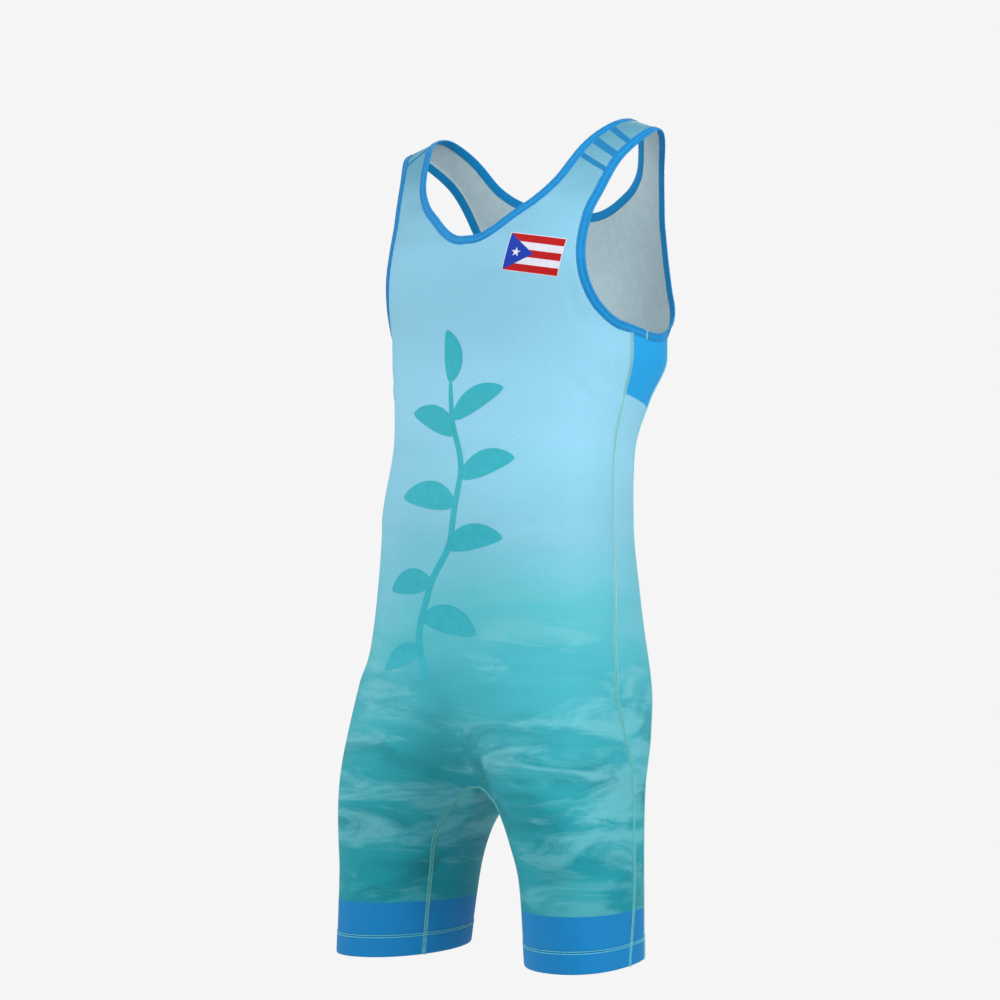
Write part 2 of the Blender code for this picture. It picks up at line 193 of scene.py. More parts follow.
print("front edge of the armhole, halfway up:", round(float(armhole("front_x", 0.5)), 3), "m")

# %% [markdown]
# Below the chest line a level cut through the suit is an oval, a little squarer than an
# ellipse, and under the crotch an arch parts it into two legs. A stack of level cuts is easier to
# fit to a figure than a sculpted surface, and each cut stays one row of a table.

# %% Level cuts and legs
def arch(z):
    """0 at the top of the arch between the legs, 1 on the straight of the inner leg."""
    down = np.clip((CROTCH_Z - z) / ARCH_HEIGHT, 0, 1)
    return np.sqrt(1 - (1 - down) ** 2)


def inner_x(z):
    """The inmost point of a leg from the middle."""
    straight = body("out", z) - body("half", z)
    return np.maximum(straight, 0) * arch(z) + 0.5 * SEAM


def section_y(z, x, back):
    """The front or back face of a half body's section at a distance from the middle."""
    out, half = body("out", z), body("half", z)
    depth = body("back" if back else "front", z)
    beyond = np.clip((x - out) / half, 0, 1)
    outer = (1 - beyond**SECTION_ROUND) ** (1 / SECTION_ROUND)
    bridge = 0.5 * (1 + np.cos(np.pi * np.clip((out - x) / np.maximum(out, LEAST), 0, 1)))
    within = np.clip((out - x) / np.maximum(out - inner_x(z), LEAST), 0, 1)
    leg = np.sqrt(1 - within**2)
    legged = smooth_step((CROTCH_Z - z) / ARCH_HEIGHT)
    inner = 1 - body("dip", z) * (1 - (1 - legged) * bridge - legged * leg)
    y = depth * np.where(x > out, outer, inner) * (1 if back else -1)
    return body("y", z) + y - body("skew", z) * (x - out)


def seam_x(z, name):
    """How far out the side panel's front or back seam lies, from its angle."""
    angle = np.radians(body(name, z))
    return body("out", z) + body("half", z) * np.abs(np.sin(angle)) ** (2 / SECTION_ROUND)


def level_side(z, start, end):
    """Points round the outer side of a level section between two angles."""
    angle = np.radians(np.linspace(start, end, FINE))
    power = 2 / SECTION_ROUND
    out, half = body("out", z), body("half", z)
    x = out + half * np.sign(np.sin(angle)) * np.abs(np.sin(angle)) ** power
    depth = np.where(np.cos(angle) > 0, body("front", z), body("back", z))
    y = -depth * np.sign(np.cos(angle)) * np.abs(np.cos(angle)) ** power
    y = body("y", z) + y - body("skew", z) * (x - out)
    return np.column_stack([x, y, np.full(FINE, z)])


def side_row(z):
    """A fine row of the left side panel, from its front seam to its back seam."""
    return level_side(z, body("seam_front", z), body("seam_back", z))


def hem_drop(points):
    """Tilts the rows near the hem, which is cut square to the leaning thigh."""
    share = smooth_step(1 - (points[:, 2] - HEM_Z) / HEM_FADE)
    tilt = HEM_TILT * (points[:, 1] - body("y", HEM_Z))
    return points + np.column_stack([0 * tilt, 0 * tilt, share * tilt])


print("side panel under the arm:", round(float(np.ptp(side_row(CHEST_Z)[:, 1])), 3), "m deep")

# %% [markdown]
# Above the chest line each front-to-back profile closes over the shoulder, so the front and
# the back meet there. The neck and the armholes need no cutting: they are where a row of points
# starts and where it ends.

# %% Chest, straps and gusset
def shoulder_rise(points, rise):
    """Lifts points of the chest section up their profiles, by a share of the height."""
    x, y = points[:, 0], points[:, 1]
    rise = np.broadcast_to(rise, x.shape)
    top = SHOULDER_SLOPE * (STRAP_X - x)
    full = np.sin(np.pi * np.minimum(rise / CHEST_FULL_RISE, 1)) ** 2
    leave = (1 - rise**PROFILE_RISE) ** (1 / PROFILE_ROUND) * (1 + CHEST_FULL * full)
    ridge = SHOULDER_SLANT * (STRAP_X - x)
    return np.column_stack([x, ridge + (y - ridge) * leave, CHEST_Z + (top - CHEST_Z) * rise])


def gusset_x(z, back):
    """Where the gusset's seam runs on a leg, from the middle."""
    straight = body("out", z) - body("half", z) * (GUSSET_BACK if back else GUSSET_FRONT)
    return straight * arch(z) ** GUSSET_ROUND


def face_row(z, back):
    """A fine row of the left half of the front or back, from the middle or the gusset's seam."""
    angle = body("seam_back" if back else "seam_front", z)
    start = gusset_x(z, back) if z < CROTCH_Z else 0.0
    side = level_side(z, 180 if back else 0, angle)
    side = side[side[:, 0] > body("out", z) + LEAST]
    x = np.linspace(start, body("out", z), FINE)
    x = x[: 1 if body("out", z) < LEAST else FINE]
    flat = np.column_stack([x, section_y(z, x, back), np.full(len(x), z)])
    return hem_drop(np.concatenate([flat, side]))


def gusset_row(z):
    """A fine row of the gusset on the left leg, from its front seam round to its back seam."""
    rows = []
    for back in (False, True):
        share = 0.5 - 0.5 * np.cos(np.linspace(0, np.pi, FINE))
        x = gusset_x(z, back) + (inner_x(z) - gusset_x(z, back)) * share
        rows.append(np.column_stack([x, section_y(z, x, back), np.full(FINE, z)]))
    return hem_drop(np.concatenate([rows[0], rows[1][::-1]]))


def neck_x(rise, low, name):
    """The neck's cloth edge at a share of the height, for a neck that starts at low."""
    up = np.sqrt(np.clip((rise - low) / (1 - low), 0, 1))
    return float(through(column(NECK, NECK_COLUMNS, "up"), column(NECK, NECK_COLUMNS, name), up))


def spread(rise, back):
    wider = SHOULDER_SPREAD_BACK if back else SHOULDER_SPREAD
    spread_rise = SPREAD_RISE_BACK if back else SPREAD_RISE
    return 1 + wider * smooth_step((rise - ARMHOLE_CORNER) / spread_rise)


def bib_row(rise, back):
    """A fine row of the chest or the strap, from the middle or the neck to the armhole."""
    low = NECK_LOW_BACK if back else NECK_LOW_FRONT
    face = "back_x" if back else "front_x"
    start = neck_x(rise, low, face) if rise > low else 0.0
    end = float(armhole(face, rise))
    if rise < ARMHOLE_CORNER + LEAST:
        end = seam_x(CHEST_Z, "seam_back" if back else "seam_front")
    x = np.linspace(start, end, FINE)
    y = section_y(CHEST_Z, x / spread(rise, back), back)
    return shoulder_rise(np.column_stack([x, y, np.full(FINE, CHEST_Z)]), rise)


print("widest level half section:", round(float(body("half", CHEST_Z)), 3), "m")

# %% [markdown]
# ## Panels as grids
# Each panel is a grid of points. A row is shared out evenly, with extra columns along its sewn
# edges, where the thread pulls the knit into a shallow groove. Every point keeps how far it is
# from the seams, and how high it stands above the hem.

# %% Rows and levels
def shared_out(points, count, start_trim, end_trim):
    """count steps along a fine row, closer together beside its two ends."""
    along = np.concatenate([[0], np.cumsum(np.linalg.norm(np.diff(points, axis=0), axis=1))])
    low, high = start_trim, along[-1] - end_trim
    near = np.array(SEAM_STEPS) * min(1.0, 0.25 * (high - low) / SEAM_STEPS[-1])
    middle = np.linspace(low + near[-1], high - near[-1], count + 1)[1:-1]
    at = np.concatenate([[low], low + near, middle, high - near[::-1], [high]])
    return np.column_stack([np.interp(at, along, points[:, k]) for k in range(3)]), at - high


def low_levels():
    leg = np.linspace(HEM_Z, CROTCH_Z - ARCH_HEIGHT, LEG_ROWS + 1)[:-1]
    quarter = np.linspace(0, np.pi / 2, ARCH_ROWS + 1)
    curve = CROTCH_Z - ARCH_HEIGHT * (1 - np.cos(quarter))[::-1]
    torso = np.linspace(CROTCH_Z, CHEST_Z, TORSO_ROWS + 1)[1:]
    return np.unique(np.concatenate([leg, HEM_Z + np.array(HEM_ROWS), curve, torso]).round(7))


def high_levels(low):
    side = np.linspace(0, ARMHOLE_CORNER, SIDE_TOP_ROWS)[1:]
    bib = np.linspace(ARMHOLE_CORNER, low, BIB_ROWS + 1)[1:]
    quarter = np.linspace(0, np.pi / 2, STRAP_ROWS + 1)[1:]
    return np.concatenate([side, bib, low + (1 - low) * np.sin(quarter) ** STRAP_SPACING])


LEVELS = low_levels()
LEG_COUNT = int((LEVELS < CROTCH_Z).sum())
TOP_HEIGHT = CHEST_Z - HEM_Z
print("levels:", len(LEVELS), "of which on the legs:", LEG_COUNT)

# %% [markdown]
# The front and the back are made as left halves and mirrored later, so that both sides
# match. The side panel and the gusset have the same levels as the halves, which keeps every seam
# closed without any joining of points.

# %% Grids of the panels
def gathered(rows):
    """Rows of (points, distance from the side edge, height above the hem), as three arrays."""
    return [np.array(part) for part in zip(*rows)]


def half_panel(back, count):
    """The left half of the front or back."""
    rows = []
    for z in LEVELS:
        seam = SEAM if z < CROTCH_Z else 0.0
        rows.append((*shared_out(face_row(z, back), count, seam, SEAM), z - HEM_Z))
    for rise in high_levels(NECK_LOW_BACK if back else NECK_LOW_FRONT):
        row = shared_out(bib_row(rise, back), count, 0.0, SEAM)
        rows.append((*row, TOP_HEIGHT - CHEST_Z * rise))
    grid, across, heights = gathered(rows)
    grid[-1, :, 1] += SEAM * (1 if back else -1)
    first = grid[LEG_COUNT:, 0, 0]
    grid[LEG_COUNT:, 0, 0] = np.where(first < MIDDLE_SNAP, 0.0, first)
    return grid, across, heights


def side_grid(count):
    """The left side panel, with its top edge sagging under the arm."""
    rows = [(*shared_out(hem_drop(side_row(z)), count, SEAM, SEAM), z - HEM_Z) for z in LEVELS]
    for rise in np.linspace(0, ARMHOLE_CORNER, SIDE_TOP_ROWS)[1:]:
        points, at = shared_out(shoulder_rise(side_row(CHEST_Z), rise), count, SEAM, SEAM)
        sag = ARMHOLE_SAG * (rise / ARMHOLE_CORNER) ** 3
        points[:, 2] -= sag * np.sin(np.pi * (at - at[0]) / (at[-1] - at[0]))
        rows.append((points, at, TOP_HEIGHT - CHEST_Z * rise))
    return gathered(rows)


def gusset_grid(count):
    """The gusset: up the left leg, through the crotch and down the right leg."""
    left = []
    for z in LEVELS[:LEG_COUNT]:
        left.append((*shared_out(gusset_row(z), count, SEAM, SEAM), z - HEM_Z))
    top, at = shared_out(gusset_row(CROTCH_Z - LEAST), count, SEAM, SEAM)
    top[:, 0] = 0.0
    right = [(points * MIRROR, row_at, height) for points, row_at, height in left[::-1]]
    return gathered(left + [(top, at, CROTCH_Z - HEM_Z)] + right)


FRONT, FRONT_ACROSS, FRONT_UP = half_panel(False, FRONT_STEPS)
BACK, BACK_ACROSS, BACK_UP = half_panel(True, BACK_STEPS)
SIDE, SIDE_ACROSS, SIDE_UP = side_grid(SIDE_STEPS)
GUSSET, GUSSET_ACROSS, GUSSET_UP = gusset_grid(GUSSET_STEPS)
for name, across in (("half front", FRONT_ACROSS), ("half back", BACK_ACROSS),
                     ("side", SIDE_ACROSS), ("gusset", GUSSET_ACROSS)):
    rows, columns = across.shape
    widest = round(float((across[:, -1] - across[:, 0]).max()), 4)
    print(name, "grid:", rows, "rows of", columns, "points, widest", widest, "m")

# %% [markdown]
# ## Creases, hems and seam grooves
# The knit is stretched over the body, so its creases are few, low and soft. Each row of a
# table is one of them: where it is, which way it runs, how long, wide and high it is. A minus
# height is a trough. The back and sides, which the photograph hides, get similar ones.

# %% Creases
# Each row: distance across, height, turn in degrees, then its length, width and height
FRONT_CREASES = (
    (0.128, -0.622, 6, 0.050, 0.0026, 0.0017),
    (0.121, -0.629, 4, 0.042, 0.0028, -0.0013),
    (0.030, -0.655, 48, 0.070, 0.0060, -0.0011),
    (-0.034, -0.651, 134, 0.080, 0.0065, -0.0012),
    (0.055, -0.640, 36, 0.085, 0.0060, 0.0010),
    (-0.058, -0.632, 142, 0.078, 0.0070, 0.0011),
    (0.085, -0.700, 14, 0.060, 0.0060, 0.0008),
    (-0.100, -0.694, 170, 0.070, 0.0065, 0.0009),
    (0.106, -0.575, 22, 0.080, 0.0070, -0.0009),
    (-0.104, -0.560, 156, 0.090, 0.0080, -0.0010),
    (0.088, -0.420, 10, 0.075, 0.0060, 0.0007),
    (0.096, -0.440, 5, 0.055, 0.0050, -0.0006),
    (-0.090, -0.404, 172, 0.080, 0.0065, 0.0008),
    (-0.094, -0.452, 178, 0.060, 0.0055, -0.0006),
    (0.126, -0.272, 128, 0.062, 0.0050, 0.0008),
    (-0.124, -0.266, 50, 0.066, 0.0055, 0.0009),
    (0.113, -0.190, 100, 0.070, 0.0050, -0.0006),
    (-0.112, -0.182, 82, 0.060, 0.0055, -0.0007),
    (0.030, -0.152, 12, 0.060, 0.0060, 0.0005),
    (-0.022, -0.160, 170, 0.050, 0.0060, 0.0005),
    (0.140, -0.770, 8, 0.050, 0.0060, -0.0006),
    (-0.138, -0.786, 174, 0.055, 0.0060, -0.0006),
)
BACK_CREASES = (
    (0.010, -0.352, 2, 0.170, 0.0080, 0.0014),
    (-0.016, -0.374, 176, 0.150, 0.0070, -0.0012),
    (0.024, -0.398, 6, 0.120, 0.0070, 0.0010),
    (0.084, -0.330, 160, 0.080, 0.0060, 0.0008),
    (-0.088, -0.338, 18, 0.085, 0.0060, 0.0009),
    (0.070, -0.650, 24, 0.095, 0.0070, -0.0011),
    (-0.074, -0.644, 158, 0.090, 0.0075, -0.0012),
    (0.090, -0.668, 18, 0.080, 0.0065, 0.0009),
    (-0.094, -0.664, 163, 0.075, 0.0060, 0.0009),
    (0.118, -0.262, 52, 0.060, 0.0055, 0.0008),
    (-0.116, -0.256, 130, 0.064, 0.0055, 0.0008),
    (0.060, -0.230, 100, 0.080, 0.0080, 0.0007),
    (-0.052, -0.222, 84, 0.080, 0.0080, 0.0007),
    (0.104, -0.560, 150, 0.070, 0.0070, 0.0007),
    (-0.108, -0.552, 30, 0.074, 0.0070, 0.0008),
)
SIDE_CREASES = (
    (-0.030, -0.420, 8, 0.050, 0.0060, 0.0008),
    (-0.026, -0.444, 172, 0.044, 0.0050, -0.0007),
    (0.000, -0.286, 118, 0.045, 0.0050, 0.0007),
    (-0.020, -0.600, 12, 0.060, 0.0070, 0.0007),
    (-0.030, -0.745, 4, 0.050, 0.0060, -0.0006),
)
print("creases placed by hand:", len(FRONT_CREASES) + len(BACK_CREASES) + 2 * len(SIDE_CREASES))

# %% [markdown]
# A crease is a ridge with a lower trough beside it, and fades out at both ends. A stitched
# seam pulls the knit into a groove with faint puckers, and a turned hem stands off by a second
# layer. Sums of such simple curves are easy to change one by one, and the few low folds of a
# tight knit don't need a simulation.

# %% Relief
CREASE_BOW = 0.9         # how a crease curves along its length
TROUGH_SHARE = 0.45      # the lower trough beside each crease, as a share of its height
TROUGH_OFF = 1.7         # and how far off it lies, in widths
GROOVE_DEEP = 0.00045
GROOVE_WIDE = 0.0016
PUCKER = 0.00016
PUCKER_PITCH = 0.0105
PUCKER_REACH = 0.006
PUCKER_DRIFT = (1.3, 61) # keeps the puckers from being even
END_PHASE, START_PHASE = 0.4, 2.1
HEM_FOLD = 0.020         # height of the turned hem
HEM_THICK = 0.00045      # what its second layer adds
HEM_STEP = (0.0008, 0.0014)      # where that layer ends above the fold, and how softly
HEM_DENT = (0.0003, 0.0012)      # depth and width of the dent under the stitches
HEM_ROLL = (0.00035, 0.0010)     # how far the folded edge rounds off, and over what height


def unit(vectors):
    return vectors / np.maximum(np.linalg.norm(vectors, axis=-1, keepdims=True), TINY)


def creases(table, a, z):
    """The height of all the creases of a table at some places."""
    total = np.zeros(np.shape(a))
    for ca, cz, turn, length, width, height in table:
        c, s = math.cos(math.radians(turn)), math.sin(math.radians(turn))
        along = (a - ca) * c + (z - cz) * s
        off = (z - cz) * c - (a - ca) * s + CREASE_BOW * along**2
        fade = np.cos(np.pi * np.clip(along / length, -0.5, 0.5)) ** 2
        ridge = np.exp(-((off / width) ** 2))
        trough = np.exp(-(((off - TROUGH_OFF * width) / width) ** 2))
        total = total + height * fade * (ridge - TROUGH_SHARE * trough)
    return total


def sewn(distance, height, phase):
    """The groove and the faint pucker beside a seam."""
    groove = -GROOVE_DEEP * np.exp(-((distance / GROOVE_WIDE) ** 2))
    drift, often = PUCKER_DRIFT
    wave = np.sin(2 * np.pi * height / PUCKER_PITCH + phase + drift * np.sin(height * often))
    return groove + PUCKER * wave * np.exp(-((distance / PUCKER_REACH) ** 2))


def hem_relief(height):
    """The turned hem's second layer, the dent under its stitches and its rounded edge."""
    (above, soft), (dent, wide), (roll, over) = HEM_STEP, HEM_DENT, HEM_ROLL
    fold = HEM_THICK * smooth_step((HEM_FOLD + above - height) / soft)
    stitched = -dent * np.exp(-(((height - HEM_FOLD) / wide) ** 2))
    rolled = -roll * (1 - smooth_step(height / over))
    return fold + stitched + rolled


def relief(grid, across, heights, table, axis, sign=1, open_start=False):
    """How far the cloth stands off the body's surface, at each point of a grid."""
    up = heights[:, None] + 0 * across
    total = creases(table, sign * grid[:, :, axis], grid[:, :, 2]) + hem_relief(up)
    total += sewn(-across, up, END_PHASE)
    start = across - across[:, :1]
    seam_start = 1.0 if open_start else (np.arange(len(grid)) < LEG_COUNT)[:, None]
    return total + seam_start * sewn(start, up, START_PHASE)


def normals_of(grid, sign):
    """Unit normals of a grid of points; the sign makes them face out of the body."""
    along, across = np.gradient(grid, axis=0), np.gradient(grid, axis=1)
    return unit(np.cross(across, along) * sign)


FRONT_N, BACK_N = normals_of(FRONT, 1), normals_of(BACK, -1)
SIDE_N, GUSSET_N = normals_of(SIDE, 1), normals_of(GUSSET, -1)
print("the hem stands off by", round(1000 * float(hem_relief(0.010)), 2), "mm")

# %% [markdown]
# ## Node materials
# The print covers the outer face of the knit, and its colour comes from the height on the body:
# pale at the chest, then water that ripples and deepens downward. The rows of knit, the faint
# sheen and the pale unprinted inside are the same on every panel.

# %% Colours under the lights
STUDIO_GAIN = 1.55       # how much brighter than its own colour a white card is under the lights


def linear(red, green, blue):
    """The colour of a surface that is to look like a screen colour, 0 to 255, in the studio."""
    def one(v):
        v /= 255
        return (v / 12.92 if v <= 0.04045 else ((v + 0.055) / 1.055) ** 2.4) / STUDIO_GAIN
    return (one(red), one(green), one(blue), 1.0)


print("a white card is", round(linear(255, 255, 255)[0], 3), "here")

# %% [markdown]
# A material is a small graph: nodes, and links from one to the next. These helpers each add
# one node, fill its sockets and hand its output on, so that a material reads like a sentence.

# %% Helpers that add a node
def fill(tree, node, plugs):
    """Links a node's sockets to other outputs, or sets their fixed values."""
    for key, value in plugs:
        if hasattr(value, "is_linked"):
            tree.links.new(value, node.inputs[key])
        else:
            node.inputs[key].default_value = value


def add(tree, kind, plugs=(), **settings):
    """One node, with its settings and what goes into its sockets."""
    made = tree.nodes.new(kind)
    for key, value in settings.items():
        setattr(made, key, value)
    fill(tree, made, plugs)
    return made


def math_node(tree, operation, *values):
    return add(tree, "ShaderNodeMath", enumerate(values), operation=operation).outputs[0]


def times(tree, first, second):
    return math_node(tree, "MULTIPLY", first, second)


def minus(tree, first, second):
    return math_node(tree, "SUBTRACT", first, second)


def ranged(tree, value, low, high, to_low=0.0, to_high=1.0):
    """Takes a value from one range to another, softly at both ends."""
    plugs = [("Value", value), ("From Min", low), ("From Max", high),
             ("To Min", to_low), ("To Max", to_high)]
    node = add(tree, "ShaderNodeMapRange", plugs, interpolation_type="SMOOTHSTEP")
    return node.outputs["Result"]


def mixed(tree, factor, first, second):
    """Mixes two colours, each a socket or a fixed colour."""
    plugs = [(0, factor), (6, first), (7, second)]
    return add(tree, "ShaderNodeMix", plugs, data_type="RGBA").outputs[2]


def ramp(tree, value, stops):
    """A colour ramp of (place, colour) rows."""
    node = add(tree, "ShaderNodeValToRGB", [("Fac", value)])
    elements = node.color_ramp.elements
    while len(elements) < len(stops):
        elements.new(0.5)
    for element, (place, colour) in zip(elements, stops):
        element.position = place
        element.color = colour
    return node.outputs["Color"]


def coordinates(tree, vector):
    """The X, Y and Z of a vector."""
    return add(tree, "ShaderNodeSeparateXYZ", [("Vector", vector)]).outputs


def place_on(tree):
    """A point's own place in the frame, in metres."""
    return add(tree, "ShaderNodeTexCoord").outputs["Object"]


def noise(tree, vector, scale, detail, rough, distortion=0.0):
    plugs = [("Vector", vector), ("Scale", scale), ("Detail", detail), ("Roughness", rough),
             ("Distortion", distortion)]
    return add(tree, "ShaderNodeTexNoise", plugs).outputs["Fac"]


print("helpers:", [made.__name__ for made in (math_node, ranged, mixed, ramp, noise)])

# %% [markdown]
# Every finish ends alike: a colour that a faint tone makes uneven, and bumps that are too
# small for the mesh, which tilt the light and leave the shape as it is.

# %% Helpers that finish a surface
def tinted(tree, shader, colour, tone):
    """Gives a surface its colour, made lighter and darker by a tone."""
    colour = colour if hasattr(colour, "is_linked") else colour[:3]
    plugs = [("Vector", colour), ("Scale", tone)]
    node = add(tree, "ShaderNodeVectorMath", plugs, operation="SCALE")
    fill(tree, shader, [("Base Color", node.outputs["Vector"])])


def raised_by(tree, shader, height, strength, distance):
    """Gives a surface fine bumps too small for its mesh."""
    plugs = [("Strength", strength), ("Distance", distance), ("Height", height)]
    bump = add(tree, "ShaderNodeBump", plugs)
    fill(tree, shader, [("Normal", bump.outputs["Normal"])])


def new_material(name):
    made = bpy.data.materials.new(name)
    made.use_nodes = True
    tree = made.node_tree
    return made, tree, tree.nodes["Principled BSDF"]


print("finishes:", [made.__name__ for made in (tinted, raised_by)])


# %% [markdown]
# A jersey knit has columns of loops and rows of loops. Two sine waves on the real-size map,
# multiplied, give both; a fine grain breaks their evenness.

# %% Knit
WALE_PITCH = 0.00062     # from one column of loops to the next
COURSE_PITCH = 0.00048   # from one row of loops to the next
LOOP_HEIGHT = 0.00012
LOOP_STRENGTH = 0.35
GRAIN = (900.0, 2.0, 0.5)        # scale, detail and roughness
GRAIN_SHARE = 0.5
KNIT_SHEEN = [("Sheen Roughness", 0.42), ("Sheen Tint", (0.85, 0.95, 1.0, 1.0)),
              ("Specular IOR Level", 0.16)]
PATCHES = (130.0, 4.0, 0.6)      # the unevenness of a plain knit


def ridges(tree, value, pitch):
    """Even ridges along a value, one at each half pitch."""
    wave = math_node(tree, "SINE", times(tree, value, 2 * math.pi / pitch))
    return math_node(tree, "ABSOLUTE", wave)


def knit_surface(tree, shader, rough=0.62, sheen=0.03, depth=1.0):
    """The rows of a fine jersey knit, from the real-size map, and its soft sheen."""
    uv = add(tree, "ShaderNodeUVMap", uv_map="cloth").outputs["UV"]
    across, up = coordinates(tree, uv)[:2]
    loops = times(tree, ridges(tree, across, WALE_PITCH), ridges(tree, up, COURSE_PITCH))
    place = place_on(tree)
    grain = noise(tree, place, *GRAIN)
    height = math_node(tree, "ADD", loops, times(tree, grain, GRAIN_SHARE))
    raised_by(tree, shader, height, LOOP_STRENGTH * depth, LOOP_HEIGHT)
    fill(tree, shader, [("Roughness", rough), ("Sheen Weight", sheen), *KNIT_SHEEN])
    return uv, place, grain


def plain_knit(name, colour, rough=0.62, sheen=0.03, depth=1.0, mottle=0.06):
    """A knit of one colour, with a little unevenness."""
    made, tree, shader = new_material(name)
    place = knit_surface(tree, shader, rough, sheen, depth)[1]
    patches = noise(tree, place, *PATCHES)
    tinted(tree, shader, linear(*colour), ranged(tree, patches, 0.25, 0.75, 1 - mottle, 1 + mottle))
    return made


INSIDE = plain_knit("knit_inside", (206, 230, 238), rough=0.78, sheen=0.12)
TAPE = plain_knit("tape_knit", (8, 152, 222), rough=0.6, depth=1.3, mottle=0.05)
print("plain knits:", INSIDE.name, TAPE.name)

# %% [markdown]
# The water is a ramp of colours by height, which a slow swell moves up and down. Its top end,
# over the straps, is painted shade: darker where they face up and away from the lamps. Two
# flattened noises lie over it: dark pools that begin at the hips, then pale streaks of foam.

# %% Colours of the water
WATER_STOPS_AND_PAINTED_SHADE = (
    (-0.860, (8, 146, 164)),
    (-0.780, (16, 156, 172)),
    (-0.700, (36, 168, 182)),
    (-0.620, (56, 178, 192)),
    (-0.560, (72, 188, 204)),
    (-0.500, (94, 200, 215)),
    (-0.450, (120, 206, 227)),
    (-0.400, (138, 210, 233)),
    (-0.300, (154, 220, 248)),
    (-0.120, (144, 208, 236)),
    # painted shade: this top stop darkens the straps, which face up and away from the lamps
    (0.000, (98, 164, 188)),
)
FOAM = (122, 208, 220)
DEEP = (0, 124, 138)
HEM_BAND = (8, 134, 202)
BLOCK = (30, 170, 240)
STRAP_BAR = (28, 132, 190)

# How flat each noise is, then its scale, detail, roughness and how much it swirls
SWELL = (2.4, 6.0, 3.0, 0.50, 0.0)
POOLS = (2.8, 7.5, 6.0, 0.54, 0.7)
STREAKS = (3.8, 9.0, 8.0, 0.63, 0.7)
SWELL_HEIGHT = 0.17
POOL_SHARE = (0.55, 0.34, 0.0, 0.72)       # noise from and to, strength from and to
POOL_HEIGHTS = (-0.470, -0.780)            # where they begin and where they are full
STREAK_SHARE = (0.46, 0.65, 0.0, 0.66)
STREAK_HEIGHTS = (-0.360, -0.570)
STREAK_FADE = (-0.800, -0.680, 0.55, 1.0)  # they are weaker again beside the hem
FUZZ = (0.30, 0.70, 0.94, 1.04)
# partly painted light: the side panels' print lies lower, partly as their own print placement and
# partly to paint them lighter where the lamps light them less
SIDE_DROP_AND_PAINTED_LIGHT = 0.030       # how much lower the print lies on the side panels
print("colours of the water:", len(WATER_STOPS_AND_PAINTED_SHADE))

# %% [markdown]
# Real water has long level patches, so each noise is flattened by stretching its place
# upward. The patterns read the place on the body and not the map, so they run on across a seam
# without a step.

# %% Water
def flat_noise(tree, place, flat, *settings):
    """A noise whose patches are wider than they are high."""
    plugs = [("Vector", place), ("Scale", (1.0, 1.0, flat))]
    return noise(tree, add(tree, "ShaderNodeMapping", plugs).outputs["Vector"], *settings)


def water(tree, place, print_drop_and_painted_light):
    """The colours of the water at a place."""
    z = coordinates(tree, place)["Z"]
    swell = flat_noise(tree, place, *SWELL)
    wobble = times(tree, minus(tree, swell, 0.5), SWELL_HEIGHT)
    level = math_node(tree, "ADD", math_node(tree, "ADD", z, wobble), print_drop_and_painted_light)
    low, high = WATER_STOPS_AND_PAINTED_SHADE[0][0], WATER_STOPS_AND_PAINTED_SHADE[-1][0]
    share = math_node(tree, "DIVIDE", minus(tree, level, low), high - low)
    stops = [((at - low) / (high - low), linear(*colour)) for at, colour in WATER_STOPS_AND_PAINTED_SHADE]
    colour = ramp(tree, share, stops)
    pools = ranged(tree, flat_noise(tree, place, *POOLS), *POOL_SHARE)
    dark = times(tree, pools, ranged(tree, z, *POOL_HEIGHTS))
    colour = mixed(tree, dark, colour, linear(*DEEP))
    streaks = ranged(tree, flat_noise(tree, place, *STREAKS), *STREAK_SHARE)
    light = times(tree, streaks, ranged(tree, z, *STREAK_HEIGHTS))
    light = times(tree, light, ranged(tree, z, *STREAK_FADE))
    return mixed(tree, light, colour, linear(*FOAM))


print("noises in the water:", len((SWELL, POOLS, STREAKS)))

# %% [markdown]
# Over the water lie plain shapes: a band round each hem, a block on the side under the arm
# and three slanting bars on each strap. They follow the knit, so they read the real-size map, and
# a comparison of heights gives each one its sharp printed edge.

# %% Printed knit
BAND_TOP = 0.052
BLOCK_BACK = 0.5520      # lower edge of the side's block above the hem, at the back seam
BLOCK_RISE = 0.20        # how it slants up towards the front, for each metre across
STRAP_BARS = ((0.7835, 0.7885), (0.7999, 0.8067), (0.8171, 0.8221))
BAR_LEAN = 0.29          # how much lower a bar is at the armhole than at the neck, for each metre
BAR_HIGHER = 0.033       # how much higher the bars sit on the right strap


def water_print(name, side_block=False, strap_bars=False, print_drop_and_painted_light=0.0):
    """The printed knit. Heights above the hem come from the map; the water from the place."""
    made, tree, shader = new_material(name)
    uv, place, grain = knit_surface(tree, shader)
    colour = water(tree, place, print_drop_and_painted_light)
    across, up = coordinates(tree, uv)[:2]
    colour = mixed(tree, math_node(tree, "LESS_THAN", up, BAND_TOP), colour, linear(*HEM_BAND))
    if side_block:
        aside = math_node(tree, "ABSOLUTE", across)
        edge = minus(tree, up, times(tree, aside, BLOCK_RISE))
        block = math_node(tree, "GREATER_THAN", edge, BLOCK_BACK)
        colour = mixed(tree, block, colour, linear(*BLOCK))
    if strap_bars:
        right = math_node(tree, "LESS_THAN", coordinates(tree, place)["X"], 0.0)
        lean = times(tree, math_node(tree, "ABSOLUTE", across), BAR_LEAN)
        at = minus(tree, minus(tree, up, lean), times(tree, right, BAR_HIGHER))
        for low, high in STRAP_BARS:
            over = math_node(tree, "GREATER_THAN", at, low)
            bar = times(tree, over, math_node(tree, "LESS_THAN", at, high))
            colour = mixed(tree, bar, colour, linear(*STRAP_BAR))
    tinted(tree, shader, colour, ranged(tree, grain, *FUZZ))
    return made


FRONT_PRINT = water_print("front_print", strap_bars=True)
BACK_PRINT = water_print("back_print")
